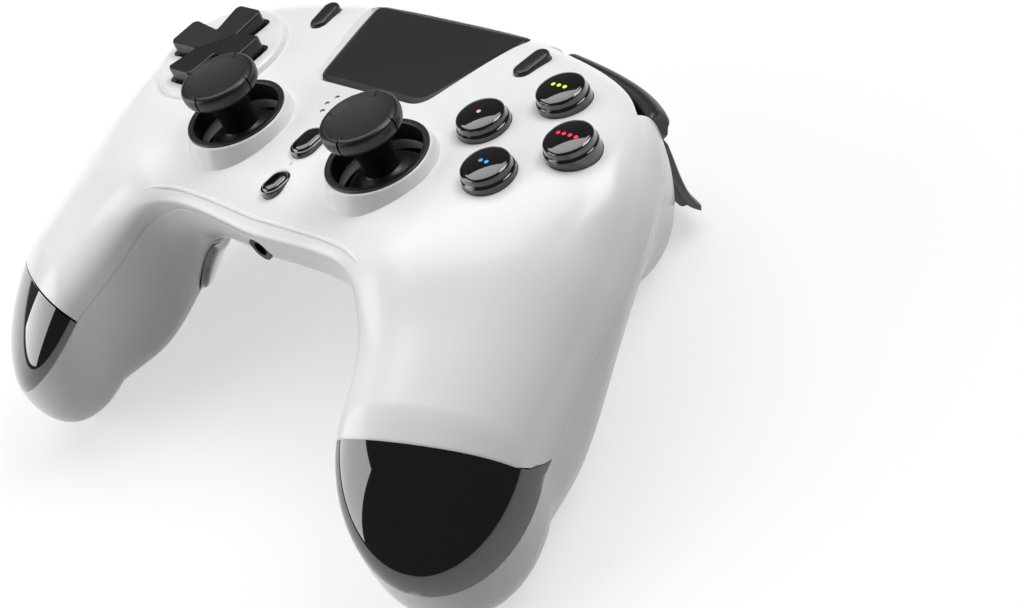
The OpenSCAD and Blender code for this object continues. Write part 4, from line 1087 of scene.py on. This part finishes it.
class GAMEPAD_OT_rear_controls(bpy.types.Operator):
    """Make the bumpers, the triggers, the back buttons and the light bar"""

    bl_idname = "gamepad.rear_controls"
    bl_label = "Rear controls"

    def execute(self, context):
        s = context.scene.gamepad_sizes
        look = finishes(context)
        section = rounded(BUMPER_BAR, [0.6, 0, 0.5, 0.3, 0.5, 1.2, 1.0, 0.9, 0.6], 5)
        bumper = Shape().bar(section, bumper_ends(section), 44, 1.4)
        bumper.turned([(2.6, -12.6), (2.6, -8.6)], BUMPER_AT, 32)
        bumper.box((32, 44.6, -12.6), (35.4, 50, -9))
        plate = rounded(TRIGGER_PLATE, [0.6, 3, 3, 3, 2, 0.5, 0.5, 2.5, 3, 3, 2, 0.8], 5)
        trigger = Shape().bar(plate, trigger_ends(plate), 40, 1.2)
        for t in RIB_STARTS:
            trigger.bar(TRIGGER_RIB, (t, t + RIB_RUN), 4)
        web = rounded(TRIGGER_WEB, [0, 1, 0, 2, 2, 0], 4)
        trigger.bar(web, trigger_ends(web, inner=TRIGGER_OUT - 1.6), 6, 0.5)
        for p in trigger.points:
            p[:, 0] = np.clip(p[:, 0], TRIGGER_IN, TRIGGER_OUT)
        r = s.trigger_pin / MM / 2
        (y, z), (start, end) = TRIGGER_PIN_AT, TRIGGER_HUB
        bore, outside = r + 0.05, r + HUB_WALL
        hub = [[(x, y + q * math.cos(a), z + q * math.sin(a)) for a in full_turn(40)]
               for x, q in ((start, bore), (start, outside), (end, outside), (end, bore))]
        trigger.net(hub, loop=True)
        paddle = patch(1.7, 3.2, 0, 30, 26, pillow=True)
        for part, shape, finish, slot in (("bumper", bumper, "satin", "black_satin"),
                                          ("trigger", trigger, "satin", "black_satin"),
                                          ("back_button", paddle, "gloss", "black_gloss")):
            for side in ("right", "left"):
                name = side + "_" + part
                formed(name + "_moulding", name + "_body", [look[finish]],
                       shape if side == "right" else mirrored(shape), [name], 40)

        t = np.linspace(BUMPER_RUN[1] + 0.03, 2 * LAST - BUMPER_RUN[1] - 0.03, 61)
        path = poly_curve("strip_path", place(seam(t, 0, STRIP_Z)), False)
        o = rounded([(STRIP_OUT, -STRIP_HALF), (STRIP_OUT, STRIP_HALF), (STRIP_IN, STRIP_HALF),
                     (STRIP_IN, -STRIP_HALF)], [0.45, 0.45, 0, 0], 4)
        outline = poly_curve("strip_outline", np.column_stack([o, 0 * o[:, 0]]) * MM, True)
        mesh = from_tree(strip_tree(), Path=path, Profile=outline, Finish=look["smoke"])
        mesh.materials.clear()
        for helper in (path, outline):
            bpy.data.objects.remove(helper)
        shade(mesh)
        piece("light_bar_strip", HOUSING, [look["smoke"]], mesh, ["light_bar"])
        return {"FINISHED"}


class GAMEPAD_OT_inner_parts(bpy.types.Operator):
    """Give the sockets, boards, motors, screws and mechanisms their finishes"""

    bl_idname = "gamepad.inner_parts"
    bl_label = "Inner parts"

    def execute(self, context):
        look = finishes(context)
        groups = {
            "nylon": ["stick_base", "stick_rocker", "stick_arch", "dpad_pivot", "motor_weight"],
            "steel": ["stick_shaft", "trigger_pin", "trigger_spring", "usb_socket", "slide_switch", "motor",
                      "front_screw", "grip_screw"],
            "board": ["button_board", "upper_board", "main_board"],
            "silicone": ["dpad_mat", "face_button_mat"],
            "satin": ["trigger_frame", "audio_jack", "slide_switch_knob"],
            "wrap": ["battery"],
            "pipe": ["status_lights"],
        }
        for key, names in groups.items():
            for name in names:
                for full in (name, "left_" + name, "right_" + name):
                    if full in NODES:
                        mesh = NODES[full].data
                        mesh.materials.clear()
                        mesh.materials.append(look[key])
        return {"FINISHED"}


def pale_floor():
    """Floor that is white to the camera and in mirrors, keeps the shadow and throws little light back"""
    mat, tree = blank_material("pale_floor")
    ray = node(tree, "ShaderNodeLightPath").outputs
    seen = node(tree, "ShaderNodeMath", {0: ray["Is Camera Ray"], 1: ray["Is Glossy Ray"]}, operation="ADD")
    seen = node(tree, "ShaderNodeMath", {0: seen.outputs[0], 1: ray["Is Transmission Ray"]}, operation="ADD",
                use_clamp=True)
    glow = node(tree, "ShaderNodeMath", {0: seen.outputs[0], 1: FLOOR_GLOW}, operation="MULTIPLY")
    surface = node(tree, "ShaderNodeBsdfPrincipled",
                   {"Base Color": FLOOR_GREY, "Roughness": 0.9, "Specular IOR Level": 0.1,
                    "Emission Color": (1, 1, 1, 1), "Emission Strength": glow.outputs[0]})
    node(tree, "ShaderNodeOutputMaterial", {"Surface": surface.outputs["BSDF"]})
    return mat


class GAMEPAD_OT_stage(bpy.types.Operator):
    """Set the pale floor, the soft studio lamps and the camera"""

    bl_idname = "gamepad.stage"
    bl_label = "Stage"

    def execute(self, context):
        scene = context.scene
        scene.view_settings.view_transform = "Standard"
        a = full_turn(128)
        ring = np.stack([FLOOR_R * np.cos(a), FLOOR_R * np.sin(a), 0 * a], -1)
        mesh = bpy.data.meshes.new("floor")
        mesh.from_pydata([tuple(p) for p in ring], [], [tuple(range(len(ring)))])
        mesh.materials.append(pale_floor())
        floor = linked("floor", mesh)

        scene.world = bpy.data.worlds.new("studio")
        scene.world.use_nodes = True
        background = scene.world.node_tree.nodes["Background"].inputs
        background["Color"].default_value = STUDIO_GREY
        background["Strength"].default_value = 1.0

        for name, (spot, wide, high, watts) in LAMPS.items():
            lamp = bpy.data.lights.new(name, "AREA")
            lamp.shape, lamp.size, lamp.size_y, lamp.energy = "RECTANGLE", wide, high, watts
            obj = linked(name, lamp)
            obj.location = spot
            obj.rotation_euler = (Vector(LAMP_AIM) - Vector(spot)).to_track_quat("-Z", "Y").to_euler()

        ahead = unit(TARGET - EYE)
        right = unit(np.cross(ahead, (0, 0, 1)))
        up = np.cross(right, ahead)
        c, s = math.cos(ROLL), math.sin(ROLL)
        right, up = c * right + s * up, c * up - s * right
        axes = laid(np.array([right, up, -ahead]))
        lens = bpy.data.cameras.new("camera")
        lens.sensor_width, lens.lens = SENSOR, FOCAL_PX * SENSOR / IMAGE_W
        lens.shift_x = (IMAGE_W / 2 - CENTRE_PX[0]) / IMAGE_W
        lens.shift_y = (CENTRE_PX[1] - IMAGE_H / 2) / IMAGE_W
        lens.clip_start, lens.clip_end = 0.01, 50
        camera = linked("camera", lens)
        camera.matrix_world = Matrix([*np.column_stack([*axes, place(EYE)]).tolist(), [0, 0, 0, 1]])
        scene.camera = camera
        return {"FINISHED"}


OPERATORS = (GAMEPAD_OT_housing, GAMEPAD_OT_sticks, GAMEPAD_OT_cross_pad, GAMEPAD_OT_face_buttons,
             GAMEPAD_OT_small_keys, GAMEPAD_OT_rear_controls, GAMEPAD_OT_inner_parts, GAMEPAD_OT_stage)


class GAMEPAD_PT_panel(bpy.types.Panel):
    """Sizes, colours and steps of the gamepad"""

    bl_idname = "GAMEPAD_PT_panel"
    bl_label = "Gamepad"
    bl_space_type = "VIEW_3D"
    bl_region_type = "UI"
    bl_category = "Gamepad"

    def draw(self, context):
        for group in (context.scene.gamepad_sizes, context.scene.gamepad_colours):
            box = self.layout.box()
            for key in group.__annotations__:
                box.prop(group, key)
        for op in OPERATORS:
            self.layout.operator(op.bl_idname)


CLASSES = (GamepadSizes, GamepadColours) + OPERATORS + (GAMEPAD_PT_panel,)


def register():
    for cls in CLASSES:
        bpy.utils.register_class(cls)
    bpy.types.Scene.gamepad_sizes = PointerProperty(type=GamepadSizes)
    bpy.types.Scene.gamepad_colours = PointerProperty(type=GamepadColours)


def unregister():
    del bpy.types.Scene.gamepad_sizes
    del bpy.types.Scene.gamepad_colours
    for cls in reversed(CLASSES):
        bpy.utils.unregister_class(cls)


def main():
    register()
    bpy.ops.gamepad.housing()
    bpy.ops.gamepad.sticks()
    bpy.ops.gamepad.cross_pad()
    bpy.ops.gamepad.face_buttons()
    bpy.ops.gamepad.small_keys()
    bpy.ops.gamepad.rear_controls()
    bpy.ops.gamepad.inner_parts()
    bpy.ops.gamepad.stage()


if __name__ == "__main__":
    main()
